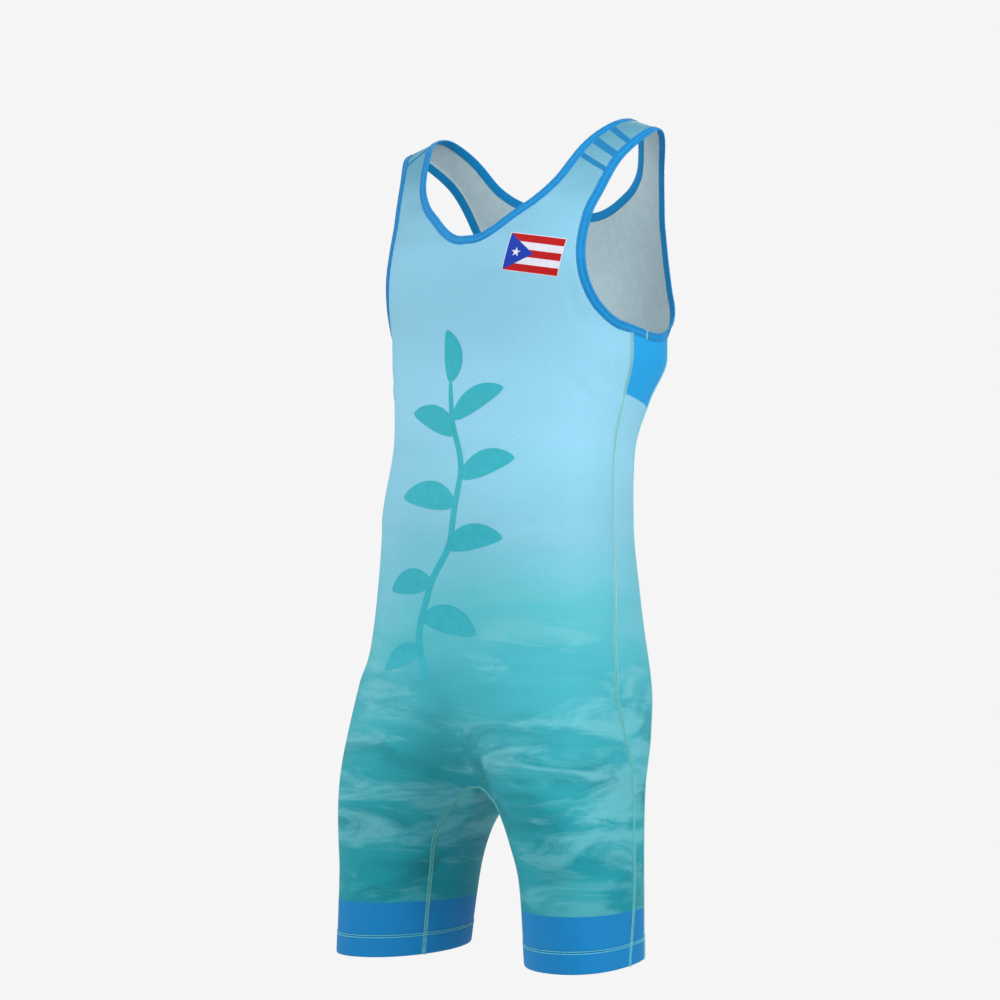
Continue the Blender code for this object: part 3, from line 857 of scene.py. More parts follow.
# the side panels' print lies lower, which paints them lighter: partly their own print placement,
# partly painted light
SIDE_PRINT_PAINTED_LIGHTER = water_print("side_print_painted_lighter", side_block=True, print_drop_and_painted_light=SIDE_DROP_AND_PAINTED_LIGHT)
print("prints:", FRONT_PRINT.name, BACK_PRINT.name, SIDE_PRINT_PAINTED_LIGHTER.name)

# %% [markdown]
# The thread is twisted polyester: a fine slanting wave for its plies. The seams' thread looks
# paler above the water, as the knit round it does.

# %% Thread
PLY_TURN = (0.6, 0.5, 0.7)
PLIES = [("Scale", 700.0), ("Distortion", 0.6)]
PLY_TONES = (0.0, 1.0, 0.92, 1.06)
PLY_STRENGTH, PLY_HEIGHT = 0.4, 0.0001
THREAD_PALER = (-0.640, -0.440)
THREAD_FUZZ = [("Roughness", 0.42), ("Sheen Weight", 0.25), ("Sheen Roughness", 0.50)]


def thread_material(name, low_colour, high_colour):
    """Twisted thread, with one colour on the legs and one on the chest."""
    made, tree, shader = new_material(name)
    place = place_on(tree)
    paler = ranged(tree, coordinates(tree, place)["Z"], *THREAD_PALER)
    colour = mixed(tree, paler, linear(*low_colour), linear(*high_colour))
    turned = add(tree, "ShaderNodeMapping", [("Rotation", PLY_TURN), ("Vector", place)])
    wave = add(tree, "ShaderNodeTexWave", [*PLIES, ("Vector", turned.outputs["Vector"])])
    plies = wave.outputs["Fac"]
    tinted(tree, shader, colour, ranged(tree, plies, *PLY_TONES))
    raised_by(tree, shader, plies, PLY_STRENGTH, PLY_HEIGHT)
    fill(tree, shader, THREAD_FUZZ)
    return made


SEAM_THREAD = thread_material("seam_thread", (112, 228, 226), (180, 252, 255))
TAPE_THREAD = thread_material("tape_thread", (14, 122, 198), (14, 122, 198))
print("materials:", len(bpy.data.materials))

# %% [markdown]
# ## Cloth
# A panel's mesh is its grid with the relief on it. Solidify gives the knit its thickness, with
# the inside in its own material, and the evaluated mesh is kept so that no modifier stays.

# %% Helpers for meshes
RIM_ANGLE = 50           # edges sharper than this, in degrees, are shaded sharp
WELD = 2e-5              # points nearer than this are made one


def in_scene(name, data):
    """An object for a mesh, a light or a camera, put in the scene."""
    made = bpy.data.objects.new(name, data)
    bpy.context.scene.collection.objects.link(made)
    return made


def mapped_mesh(name, points, faces, places, materials):
    """A smooth mesh, its materials and its real-size map: one place for each face's corner."""
    mesh = bpy.data.meshes.new(name)
    mesh.from_pydata(points.tolist(), [], faces)
    layer = mesh.uv_layers.new(name="cloth")
    layer.data.foreach_set("uv", np.array(places, np.float32).ravel())
    for finish in materials:
        mesh.materials.append(finish)
    mesh.shade_smooth()
    return mesh


def frozen(made):
    """The object with its modifiers applied for good."""
    deps = bpy.context.evaluated_depsgraph_get()
    mesh = bpy.data.meshes.new_from_object(made.evaluated_get(deps))
    made.modifiers.clear()
    made.data = mesh
    return made


print("points nearer than", WELD, "m are made one")

# %% [markdown]
# Two halves of a panel meet at the middle. Their points are made one there, and only then
# does the wall get its thickness, or a wall would stand inside the cloth along the middle.

# %% A panel's shell
def grid_part(grid, across, heights, side, front_first):
    """Points, faces and map places of one grid, on the left side or mirrored to the right."""
    rows, columns = grid.shape[:2]
    points = (grid * np.array([side, 1, 1])).reshape(-1, 3)
    places = np.column_stack([(across * side).ravel(), (heights[:, None] + 0 * across).ravel()])
    index = np.arange(rows * columns).reshape(rows, columns)
    corners = [index[:-1, :-1], index[:-1, 1:], index[1:, 1:], index[1:, :-1]]
    if front_first != (side > 0):
        corners = corners[::-1]
    return points, np.stack([c.ravel() for c in corners], axis=1), places


def cloth(name, parts, materials):
    """A shell of knit from grid parts: merged at the middle, thickened, smooth."""
    points = np.concatenate([p for p, _, _ in parts])
    places = np.concatenate([uv for _, _, uv in parts])
    starts = np.cumsum([0] + [len(p) for p, _, _ in parts])[:-1]
    faces = np.concatenate([f + s for (_, f, _), s in zip(parts, starts)])
    mesh = mapped_mesh(name, points, faces.tolist(), places[faces.ravel()], materials)
    edit = bmesh.new()
    edit.from_mesh(mesh)
    bmesh.ops.remove_doubles(edit, verts=edit.verts, dist=WELD)
    edit.to_mesh(mesh)
    edit.free()
    made = in_scene(name, mesh)
    wall = made.modifiers.new("wall", "SOLIDIFY")
    wall.thickness = CLOTH
    wall.offset = 0
    wall.use_rim = True
    wall.material_offset = 1
    wall.material_offset_rim = 0
    frozen(made)
    made.data.set_sharp_from_angle(angle=math.radians(RIM_ANGLE))
    print(name, "faces:", len(made.data.polygons))
    return made


def raised(grid, normals, height):
    return grid + normals * height[:, :, None]


def pair(grid, normals, across, heights, table, front_first):
    """Both halves of a front or back panel, each with its own side's creases."""
    parts = []
    for side in (1, -1):
        height = relief(grid, across, heights, table, 0, side)
        lifted = raised(grid, normals, height)
        middle = grid[:, 0, 0] == 0
        lifted[middle, 0, 0] = 0.0
        parts.append(grid_part(lifted, across, heights, side, front_first))
    return parts


print("thickness of the knit:", CLOTH, "m")

# %% [markdown]
# The front and the back are one piece each, from the legs to the straps. Both halves come
# from the same grid, but each has the creases of its own side.

# %% Front and back
front_halves = pair(FRONT, FRONT_N, FRONT_ACROSS, FRONT_UP, FRONT_CREASES, True)
front = cloth("front_cloth", front_halves, (FRONT_PRINT, INSIDE))
back_halves = pair(BACK, BACK_N, BACK_ACROSS, BACK_UP, BACK_CREASES, False)
back = cloth("back_cloth", back_halves, (BACK_PRINT, INSIDE))

# %% [markdown]
# The side panels are narrow strips from hem to armhole, and the gusset is one strip from leg
# to leg. They are stretched tight, so the gusset gets no creases at all, only seams and hems.

# %% Side panels and gusset
side_height = relief(SIDE, SIDE_ACROSS, SIDE_UP, SIDE_CREASES, 1, 1, True)
side_lifted = raised(SIDE, SIDE_N, side_height)
side_left, side_right = (
    cloth(name, [grid_part(side_lifted, SIDE_ACROSS, SIDE_UP, side, True)], (SIDE_PRINT_PAINTED_LIGHTER, INSIDE))
    for name, side in (("side_cloth_left", 1), ("side_cloth_right", -1))
)

gusset_height = relief(GUSSET, GUSSET_ACROSS, GUSSET_UP, (), 0, 1, True)
gusset_lifted = raised(GUSSET, GUSSET_N, gusset_height)
gusset_part = grid_part(gusset_lifted, GUSSET_ACROSS, GUSSET_UP, 1, False)
gusset = cloth("gusset_cloth", [gusset_part], (BACK_PRINT, INSIDE))

# %% [markdown]
# ## Folded tape
# The neck and the armholes are bound: a tape folded over the raw edge. It is swept round each
# hole with a flat, softly crowned section, and dips a little under its two rows of stitches.

# %% The path of each tape
TAPE_STITCHES = (0.0018, 0.0066)     # the two rows, from the cloth's edge
TAPE_OVER = 0.0006       # how far the tape reaches over the cloth
TAPE_STEP = 0.0022       # from one ring of the tape's points to the next
TAPE_SIDES = 28          # points in a ring
TAPE_SQUARE = 0.62       # under 1 makes the ring squarer than an ellipse
TAPE_GIRTH = 0.021
DENT_SHARE, DENT_WIDE = 0.26, 0.0009     # how a row of stitches presses it in
RIPPLES = ((0.00010, 0.0081, 0), (0.00008, 0.0053, 1))   # height, pitch and start of puckers


def smoothed(values, times_over):
    """A closed run of vectors, evened out with its neighbours."""
    for _ in range(times_over):
        values = (np.roll(values, 1, axis=0) + 2 * values + np.roll(values, -1, axis=0)) / 4
    return values


def even_loop(points, normals, step):
    """A closed run of points a fixed step apart, with their normals."""
    closed = np.concatenate([points, points[:1]])
    closed_n = np.concatenate([normals, normals[:1]])
    along = np.concatenate([[0], np.cumsum(np.linalg.norm(np.diff(closed, axis=0), axis=1))])
    at = np.linspace(0, along[-1], int(along[-1] / step) + 1)[:-1]
    spaced, spaced_n = (
        np.column_stack([np.interp(at, along, run[:, k]) for k in range(3)])
        for run in (closed, closed_n)
    )
    return smoothed(spaced, 3), unit(smoothed(spaced_n, 12))


def rows_above(up, rise):
    return up >= TOP_HEIGHT - CHEST_Z * rise - LEAST


def neck_loop():
    """The neck's edge: up the front, over the left shoulder, round the back and home."""
    front_rows = rows_above(FRONT_UP, NECK_LOW_FRONT)
    back_rows = rows_above(BACK_UP, NECK_LOW_BACK)
    runs = []
    for front_grid, back_grid in ((FRONT, BACK), (FRONT_N, BACK_N)):
        up, down = front_grid[front_rows, 0], back_grid[back_rows, 0]
        whole = np.concatenate([up, down[::-1], down[1:] * MIRROR, up[:0:-1] * MIRROR])
        runs.append(whole[::-1])
    return even_loop(*runs, TAPE_STEP)


def armhole_loop():
    """The left armhole's edge: up the front, over the shoulder, down the back, under the arm."""
    front_rows, back_rows = (rows_above(up, ARMHOLE_CORNER) for up in (FRONT_UP, BACK_UP))
    runs = []
    for front_grid, back_grid, side in ((FRONT, BACK, SIDE), (FRONT_N, BACK_N, SIDE_N)):
        down = back_grid[back_rows, -1][::-1]
        runs.append(np.concatenate([front_grid[front_rows, -1], down, side[-1][::-1]]))
    return even_loop(*runs, TAPE_STEP)


NECK_EDGE, NECK_OUT = neck_loop()
ARM_EDGE, ARM_OUT = armhole_loop()
print("neck:", len(NECK_EDGE), "rings, armhole:", len(ARM_EDGE), "rings")

# %% [markdown]
# A curve with a bevel could make a tape, but it would turn freely about its path. Here each
# ring of points is placed on the cloth's own normal, so the tape lies flat all the way round, and
# its thickness dips where the two rows of stitches press it in.

# %% Folded tape
def tape_frame(loop, normals):
    """The direction from the cloth's edge into the hole, along a loop."""
    ahead = unit(np.roll(loop, -1, axis=0) - np.roll(loop, 1, axis=0))
    return unit(np.cross(ahead, normals))


def squared(wave):
    return np.sign(wave) * np.abs(wave) ** TAPE_SQUARE


def tape(name, loop, normals, side, finish):
    """A closed tape round a hole, with its real-size map."""
    inward = tape_frame(loop, normals)
    turns = np.linspace(0, 2 * np.pi, TAPE_SIDES, endpoint=False)
    across = 0.5 * (TAPE_WIDTH + TAPE_OVER) * squared(np.cos(turns))
    rise = 0.5 * TAPE_THICK * squared(np.sin(turns))
    centre = 0.5 * (TAPE_WIDTH - TAPE_OVER)
    along = np.concatenate([[0], np.cumsum(np.linalg.norm(np.diff(loop, axis=0), axis=1))])
    ripple = sum(high * np.sin(2 * np.pi * along / pitch + start) for high, pitch, start in RIPPLES)
    points = []
    for k in range(TAPE_SIDES):
        place = centre + across[k]
        dents = sum(np.exp(-(((place - row) / DENT_WIDE) ** 2)) for row in TAPE_STITCHES)
        lift = rise[k] * (1 - DENT_SHARE * dents) + ripple * (rise[k] > 0)
        points.append(loop + inward * place + normals * np.reshape(lift, (-1, 1)))
    points = np.array(points) * np.array([side, 1, 1])
    count = len(loop)
    faces, places = [], []
    girth = np.linspace(0, TAPE_GIRTH, TAPE_SIDES + 1)
    ends = np.concatenate([along, [along[-1] + TAPE_STEP]])
    for k in range(TAPE_SIDES):
        for i in range(count):
            corners = [(k, i), (k + 1, i), (k + 1, i + 1), (k, i + 1)]
            if side < 0:
                corners = corners[::-1]
            faces.append([r % TAPE_SIDES * count + c % count for r, c in corners])
            places.extend((girth[r], ends[c]) for r, c in corners)
    print(name, "length:", round(float(along[-1]), 3), "m")
    return in_scene(name, mapped_mesh(name, points.reshape(-1, 3), faces, places, (finish,)))


neck_tape = tape("neck_tape", NECK_EDGE, NECK_OUT, 1, TAPE)
arm_tape_left = tape("armhole_tape_left", ARM_EDGE, ARM_OUT, 1, TAPE)
arm_tape_right = tape("armhole_tape_right", ARM_EDGE, ARM_OUT, -1, TAPE)

# %% [markdown]
# ## Print on the chest
# The flag and the leaf sprig are printed, so they are films that follow the panel's surface
# and its creases. The sprig is this script's own design: a stem with rounded leaves.

# %% Places on the front
FILM = 0.00016           # how far a printed film lies above the knit
NORMAL_STEP = 0.0005     # how far apart the places are that a normal is measured from


def front_surface(x, z):
    """Points of the front's surface at distances from the middle and heights."""
    side = np.abs(x)
    high = z > CHEST_Z
    top = SHOULDER_SLOPE * (STRAP_X - side)
    rise = np.clip((z - CHEST_Z) / (top - CHEST_Z), 0, 1)
    level = np.where(high, CHEST_Z, z)
    chest = section_y(level, side / np.where(high, spread(rise, False), 1.0), False)
    lifted = shoulder_rise(np.column_stack([side, chest, level]), rise)
    return np.column_stack([x, np.where(high, lifted[:, 1], chest), z])


def on_front(flat):
    """Lays flat (x, z) places on the front, just above the knit."""
    x, z = np.array(flat, float).T
    right = front_surface(x + NORMAL_STEP, z) - front_surface(x - NORMAL_STEP, z)
    up = front_surface(x, z + NORMAL_STEP) - front_surface(x, z - NORMAL_STEP)
    height = creases(FRONT_CREASES, x, z) + CLOTH / 2 + FILM
    return front_surface(x, z) + unit(np.cross(right, up)) * height[:, None]


def film(name, flat, faces, kinds, materials):
    """A printed film on the front: flat places, faces and the material of each face."""
    corner = [i for face in faces for i in face]
    mesh = mapped_mesh(name, on_front(flat), faces, np.array(flat)[corner], materials)
    mesh.polygons.foreach_set("material_index", kinds)
    print(name, "faces:", len(faces))
    return in_scene(name, mesh)


# %% [markdown]
# The flag is a fine flat grid, cut along every edge of its design. Each face then takes the
# colour of the field that its middle lies in.

# %% Sizes of the flag
FLAG_AT = (0.0763, -0.1393)
FLAG_SIZE = (0.0556, 0.0376)
FLAG_GRID = (40, 28)
FLAG_TURN = -9.5
FLAG_BORDER = 0.0007
STRIPES = 5
TRIANGLE = 0.52          # its point, as a share of the flag's length
STAR_AT = 0.185
STAR_RADIUS = 0.0050
STAR_INNER = 0.382       # its inner corners, as a share of the radius
FLAG_RED = plain_knit("flag_red", (192, 0, 8))
FLAG_WHITE = plain_knit("flag_white", (230, 232, 244))
FLAG_BLUE = plain_knit("flag_blue", (4, 58, 178))


def star_points():
    points = []
    for k in range(10):
        radius = STAR_RADIUS * (1.0 if k % 2 == 0 else STAR_INNER)
        angle = math.radians(90 + 36 * k)
        points.append((radius * math.cos(angle), radius * math.sin(angle)))
    return points


STAR = star_points()
print("corners of the star:", len(STAR))

# %% [markdown]
# The design is a rule: stripes, a triangle at the hoist and a star in it. So a place's
# colour can be worked out from where it lies, and no picture is needed.

# %% Fields of the flag
def in_star(a, b):
    """Whether a place lies in the star, by counting the edges it sees to its right."""
    inside = False
    for (x0, y0), (x1, y1) in zip(STAR, STAR[1:] + STAR[:1]):
        if (y0 > b) != (y1 > b) and a < x0 + (b - y0) * (x1 - x0) / (y1 - y0):
            inside = not inside
    return inside


def flag_kind(a, b):
    """0 red, 1 white, 2 blue, at a place measured from the hoist's lower corner."""
    width, height = FLAG_SIZE
    if not (0 < a < width and 0 < b < height):
        return 1
    if a < TRIANGLE * width * (1 - abs(2 * b / height - 1)):
        return 1 if in_star(a - STAR_AT * width, b - height / 2) else 2
    return int(STRIPES * b / height) % 2


print("the star's middle is of kind", flag_kind(STAR_AT * FLAG_SIZE[0], FLAG_SIZE[1] / 2))

# %% [markdown]
# A flat grid is cut along the edge lines of every field, which keeps the edges sharp at any
# distance, and is then laid on the chest with its slight turn.

# %% Flag
def flag_cuts():
    """A point on each edge line of the design, and the direction square to that line."""
    width, height = FLAG_SIZE
    cuts = [((0, b * height / STRIPES), (0, 1)) for b in range(STRIPES + 1)]
    cuts += [((0, 0), (1, 0)), ((width, 0), (1, 0))]
    tip = TRIANGLE * width
    cuts += [((tip, height / 2), (height / 2, sign * tip)) for sign in (1, -1)]
    for k in range(0, 10, 2):
        (x0, y0), (x1, y1) = STAR[k], STAR[(k + 4) % 10]
        cuts.append(((x0 + STAR_AT * width, y0 + height / 2), (y1 - y0, x0 - x1)))
    return cuts


def make_flag():
    edit = bmesh.new()
    bmesh.ops.create_grid(edit, x_segments=FLAG_GRID[0], y_segments=FLAG_GRID[1], size=1.0)
    for v in edit.verts:
        for k, length in enumerate(FLAG_SIZE):
            v.co[k] = (v.co[k] + 1) / 2 * (length + 2 * FLAG_BORDER) - FLAG_BORDER
    for (x, y), (nx, ny) in flag_cuts():
        geometry = edit.verts[:] + edit.edges[:] + edit.faces[:]
        bmesh.ops.bisect_plane(edit, geom=geometry, dist=1e-7,
                               plane_co=(x, y, 0), plane_no=(nx, ny, 0))
    edit.verts.index_update()
    c, s = math.cos(math.radians(FLAG_TURN)), math.sin(math.radians(FLAG_TURN))
    flat, faces, kinds = [], [], []
    for v in edit.verts:
        a, b = v.co.x - FLAG_SIZE[0] / 2, v.co.y - FLAG_SIZE[1] / 2
        flat.append((FLAG_AT[0] + a * c - b * s, FLAG_AT[1] + a * s + b * c))
    for face in edit.faces:
        middle = face.calc_center_median()
        faces.append([v.index for v in face.verts])
        kinds.append(flag_kind(middle.x, middle.y))
    edit.free()
    return film("flag_film", flat, faces, kinds, (FLAG_RED, FLAG_WHITE, FLAG_BLUE))


flag = make_flag()

# %% [markdown]
# A leaf is a ribbon whose width swells and closes along a bowed centre line. A row of the
# table is one leaf: where it leaves the stem, which way it points, its length and its width.

# %% Stem and leaves
STEM = (
    (-0.020, -0.565),
    (-0.034, -0.520),
    (-0.022, -0.470),
    (0.004, -0.420),
    (0.008, -0.360),
    (-0.012, -0.300),
    (-0.018, -0.262),
)
STEM_WIDTH = 0.0075
STEM_POINTS, STEM_STRIPS = 90, 4
LEAVES = (
    (-0.018, -0.264, 96, 0.054, 0.023),
    (-0.010, -0.302, 28, 0.064, 0.025),
    (-0.006, -0.318, 158, 0.066, 0.025),
    (0.008, -0.362, 18, 0.060, 0.027),
    (0.006, -0.390, 172, 0.072, 0.028),
    (-0.002, -0.432, 8, 0.064, 0.026),
    (-0.020, -0.468, 186, 0.058, 0.026),
    (-0.032, -0.502, -14, 0.070, 0.028),
    (-0.030, -0.534, 204, 0.050, 0.023),
)
LEAF_POINTS, LEAF_STRIPS = 33, 10
LEAF_BOW = 0.10          # how far its centre line bows, as a share of its length
LEAF_ROUND = 0.62        # under 1 makes it blunter at both ends
LEAF_EARLY = 0.9         # under 1 makes it widest nearer to the stem
LEAF_TIP = 0.0004
LEAF_PRINT = plain_knit("leaf_print", (52, 184, 200), mottle=0.05)
print("leaves:", len(LEAVES))

# %% [markdown]
# A stem or a leaf is a narrow grid along a line, as wide as the form is there. Such a grid
# can bend with the panel at every point, which one flat outline could not.

# %% Leaf sprig
def ribbon(centre, widths, strips):
    """Flat places and faces of a ribbon along a centre line."""
    centre = np.array(centre)
    ahead = unit(np.gradient(centre, axis=0))
    left = np.column_stack([-ahead[:, 1], ahead[:, 0]])
    shares = np.linspace(-0.5, 0.5, strips + 1)
    flat = centre[:, None] + left[:, None] * (widths[:, None] * shares)[:, :, None]
    faces = []
    for i in range(len(centre) - 1):
        for a in range(i * (strips + 1), i * (strips + 1) + strips):
            faces.append((a, a + strips + 1, a + strips + 2, a + 1))
    return flat.reshape(-1, 2), faces


def leaf(x, z, points_to, length, width):
    t = np.linspace(0, 1, LEAF_POINTS)
    angle = math.radians(points_to)
    along = np.array([math.cos(angle), math.sin(angle)])
    aside = np.array([-along[1], along[0]])
    bow = LEAF_BOW * length * np.sin(np.pi * t) * (1 if math.cos(angle) > 0 else -1)
    centre = np.array([x, z]) + t[:, None] * length * along + bow[:, None] * aside
    widths = width * np.sin(np.pi * np.clip(t, 0.002, 0.998) ** LEAF_EARLY) ** LEAF_ROUND
    return ribbon(centre, np.maximum(widths, LEAF_TIP), LEAF_STRIPS)


def make_sprig():
    stem = np.array(STEM)
    t = np.linspace(0, 1, len(stem))
    fine = np.linspace(0, 1, STEM_POINTS)
    line = np.column_stack([through(t, stem[:, k], fine) for k in range(2)])
    ends = np.sqrt(np.clip(1 - (2 * fine - 1) ** 16, 0.02, 1))
    widths = STEM_WIDTH * ends * (1.15 - 0.4 * fine)
    flat, faces = [], []
    for points, quads in [ribbon(line, widths, STEM_STRIPS)] + [leaf(*row) for row in LEAVES]:
        start = sum(len(p) for p in flat)
        flat.append(points)
        faces += [tuple(start + i for i in quad) for quad in quads]
    return film("sprig_film", np.concatenate(flat), faces, [0] * len(faces), (LEAF_PRINT,))


sprig = make_sprig()

# %% [markdown]
# ## Sewing
# One Geometry Nodes tree lays a stitch along each line at a fixed step, flat on the cloth: Z
# stands out of it and X runs along the seam. The lines are edges with a stored direction.

# %% Stitch shapes
THREAD_SIDES = 5
THREAD_ENDS = 0.55       # how thin a stitch is at its ends, as a share of its radius


def thread_shape(name, path, radius):
    """A short thread along a path of points, as a mesh of its own."""
    path = np.array(path, float)
    ahead = unit(np.gradient(path, axis=0))
    points, faces = [], []
    for k, (place, way) in enumerate(zip(path, ahead)):
        side = unit(np.cross(way, (0.01, 0.02, 1.0)))
        up = np.cross(side, way)
        size = radius * (THREAD_ENDS if k in (0, len(path) - 1) else 1.0)
        for turn in np.linspace(0, 2 * np.pi, THREAD_SIDES, endpoint=False):
            points.append(place + size * (math.cos(turn) * side + math.sin(turn) * up))
    for k in range(len(path) - 1):
        for i in range(THREAD_SIDES):
            j = (i + 1) % THREAD_SIDES
            a, b = k * THREAD_SIDES, (k + 1) * THREAD_SIDES
            faces.append((a + i, b + i, b + j, a + j))
    faces.append(tuple(range(THREAD_SIDES)))
    faces.append(tuple((len(path) - 1) * THREAD_SIDES + i for i in range(THREAD_SIDES))[::-1])
    mesh = bpy.data.meshes.new(name)
    mesh.from_pydata([tuple(p) for p in points], [], faces)
    mesh.shade_smooth()
    return bpy.data.objects.new(name, mesh)


RUNG = (
    (-0.0006, -0.0016, 0.0),
    (-0.0003, -0.0008, 0.00030),
    (0.0, 0.0, 0.00036),
    (0.0003, 0.0008, 0.00030),
    (0.0006, 0.0016, 0.0),
)
LONG_STITCH = (
    (-0.0011, 0, -0.0001),
    (-0.0007, 0, 0.00022),
    (0, 0, 0.00030),
    (0.0007, 0, 0.00022),
    (0.0011, 0, -0.0001),
)
rung = thread_shape("rung", RUNG, 0.00036)
long_stitch = thread_shape("long_stitch", LONG_STITCH, 0.00040)
print("stitches:", rung.name, long_stitch.name)

# %% [markdown]
# The tree takes lines, a step, a stitch and a thread as its named inputs. It makes the lines
# curves, spaces points along them, puts a stitch on each point, turned to the stored direction,
# and varies the sizes a little with a fixed seed. The last two nodes turn the copies into one
# real mesh and give it its material.

# %% Stitch tree
SEED = 7
LEAST_SCALE, MOST_SCALE = (0.94, 0.90, 0.95), (1.05, 1.08, 1.05)


def stitch_tree():
    """Mesh lines to curves, evenly spaced points, one stitch on each, in one material."""
    tree = bpy.data.node_groups.new("stitches_on_lines", "GeometryNodeTree")
    for name, kind in (("Lines", "Geometry"), ("Step", "Float"), ("Stitch", "Object"),
                       ("Thread", "Material")):
        tree.interface.new_socket(name, in_out="INPUT", socket_type="NodeSocket" + kind)
    tree.interface.new_socket("Sewing", in_out="OUTPUT", socket_type="NodeSocketGeometry")
    given = add(tree, "NodeGroupInput").outputs
    curves = add(tree, "GeometryNodeMeshToCurve", [("Mesh", given["Lines"])])
    plugs = [("Curve", curves.outputs["Curve"]), ("Length", given["Step"])]
    spaced = add(tree, "GeometryNodeResampleCurve", plugs, mode="LENGTH")
    out = add(tree, "GeometryNodeInputNamedAttribute", [("Name", "out")], data_type="FLOAT_VECTOR")
    plugs = [("Vector", out.outputs["Attribute"])]
    stand = add(tree, "FunctionNodeAlignRotationToVector", plugs, axis="Z")
    tangent = add(tree, "GeometryNodeInputTangent").outputs["Tangent"]
    plugs = [("Rotation", stand.outputs["Rotation"]), ("Vector", tangent)]
    turn = add(tree, "FunctionNodeAlignRotationToVector", plugs, axis="X", pivot_axis="Z")
    plugs = [(0, LEAST_SCALE), (1, MOST_SCALE), ("Seed", SEED)]
    size = add(tree, "FunctionNodeRandomValue", plugs, data_type="FLOAT_VECTOR")
    shape = add(tree, "GeometryNodeObjectInfo", [("Object", given["Stitch"])])
    plugs = [("Points", spaced.outputs["Curve"]), ("Instance", shape.outputs["Geometry"]),
             ("Rotation", turn.outputs["Rotation"]), ("Scale", size.outputs[0])]
    put = add(tree, "GeometryNodeInstanceOnPoints", plugs)
    real = add(tree, "GeometryNodeRealizeInstances", [("Geometry", put.outputs["Instances"])])
    plugs = [("Geometry", real.outputs["Geometry"]), ("Material", given["Thread"])]
    dyed = add(tree, "GeometryNodeSetMaterial", plugs)
    add(tree, "NodeGroupOutput", [("Sewing", dyed.outputs["Geometry"])])
    return tree


STITCH_TREE = stitch_tree()
print("sockets:", [item.name for item in STITCH_TREE.interface.items_tree])

# %% [markdown]
# To sew is to lay the tree on a mesh of bare edges. The inputs are set before the mesh is
# first evaluated, and the result is kept as a plain mesh, so nothing live is left on the piece.

# %% Sewing along lines
def sew(name, lines, step, stitch, thread):
    """Sews stitches along lines. Each line is (points, directions out of the cloth, closed)."""
    points, outs, edges = [], [], []
    for line, out, closed in lines:
        start = len(points)
        points += [tuple(p) for p in line]
        outs += [tuple(o) for o in out]
        edges += [(start + i, start + i + 1) for i in range(len(line) - 1)]
        if closed:
            edges.append((start + len(line) - 1, start))
    mesh = bpy.data.meshes.new(name)
    mesh.from_pydata(points, edges, [])
    stored = mesh.attributes.new("out", "FLOAT_VECTOR", "POINT")
    stored.data.foreach_set("vector", np.array(outs, np.float32).ravel())
    made = in_scene(name, mesh)
    modifier = made.modifiers.new("sewing", "NODES")
    modifier.node_group = STITCH_TREE
    values = {"Step": step, "Stitch": stitch, "Thread": thread}
    for item in STITCH_TREE.interface.items_tree:
        if item.in_out == "INPUT" and item.name in values:
            modifier[item.identifier] = values[item.name]
    frozen(made)
    made.data.materials.clear()
    made.data.materials.append(thread)
    made.data.shade_smooth()
    print(name, "faces:", len(made.data.polygons))
    return made


# %% [markdown]
# ## Seams, hems and tape rows
# The panels are joined with a flat seam: a ladder of thread laid across the join between two
# lines. The hems have two close rows, and each tape has a row near either edge.

# %% Lines beside the seams
LADDER_STEP, LADDER_SUNK = 0.00135, 0.0003
SEAM_EDGE = 0.0017       # the long stitches beside the ladder, from the join
EDGE_STEP, EDGE_SUNK = 0.0025, 0.00005
HEM_STITCH, HEM_ROW = 0.0026, 0.0010  # their step, and how far each row is from the fold
HEM_ROW_HIGH = 0.4       # how high they lie on the hem's second layer, as a share of it
TAPE_ROW_STEP, TAPE_ROW_HIGH = 0.0027, 0.42      # the height is a share of the tape's
JOIN_STEP, JOIN_HIGH = 0.0011, 0.48
SURFACE = CLOTH / 2


def both_sides(line, out, closed):
    return [(line, out, closed), (line * MIRROR, out * MIRROR, closed)]


def beside(line, out, distance):
    """A line moved sideways on the cloth."""
    ahead = unit(np.gradient(line, axis=0))
    return line + unit(np.cross(ahead, out)) * distance


def seam_lines():
    """The flat seams of the left half: two beside the side panel and two beside the gusset."""
    sides, legs = len(SIDE), slice(0, LEG_COUNT + 1)
    lines = []
    for grid, normals, edge in ((FRONT, FRONT_N, 0), (BACK, BACK_N, -1)):
        middle = 0.5 * (grid[:sides, -1] + SIDE[:, edge])
        lines.append((middle, unit(normals[:sides, -1] + SIDE_N[:, edge])))
        lines.append((grid[legs, 0], unit(normals[legs, 0] + GUSSET_N[legs, edge])))
    return lines


print("seams of the left half:", len(seam_lines()))

# %% [markdown]
# Round a leg the line runs over four panels, so their rows at one height are joined end to
# end. Points that nearly touch where two panels meet are left out, which keeps the line even.

# %% Lines round the hems
def hem_loop(height, lift):
    """A closed line round the left leg at a height above the hem."""
    z = HEM_Z + height
    rows = [face_row(z, False), hem_drop(side_row(z)), face_row(z, True)[::-1]]
    loop = np.concatenate(rows + [gusset_row(z)[::-1]])
    kept = [0]
    for i in range(1, len(loop)):
        if np.linalg.norm(loop[i] - loop[kept[-1]]) > 0.0015:
            kept.append(i)
    loop = loop[kept]
    ahead = unit(np.roll(loop, -1, axis=0) - np.roll(loop, 1, axis=0))
    out = unit(smoothed(np.cross(ahead, (0.0, 0.0, 1.0)), 4))
    return loop + out * lift, out


print("round one hem:", len(hem_loop(HEM_FOLD, SURFACE)[0]), "points")


# %% [markdown]
# The ladder sinks a little into the knit, as thread under tension does. Every line of a kind
# is sewn at once, so each kind of sewing is one mesh.

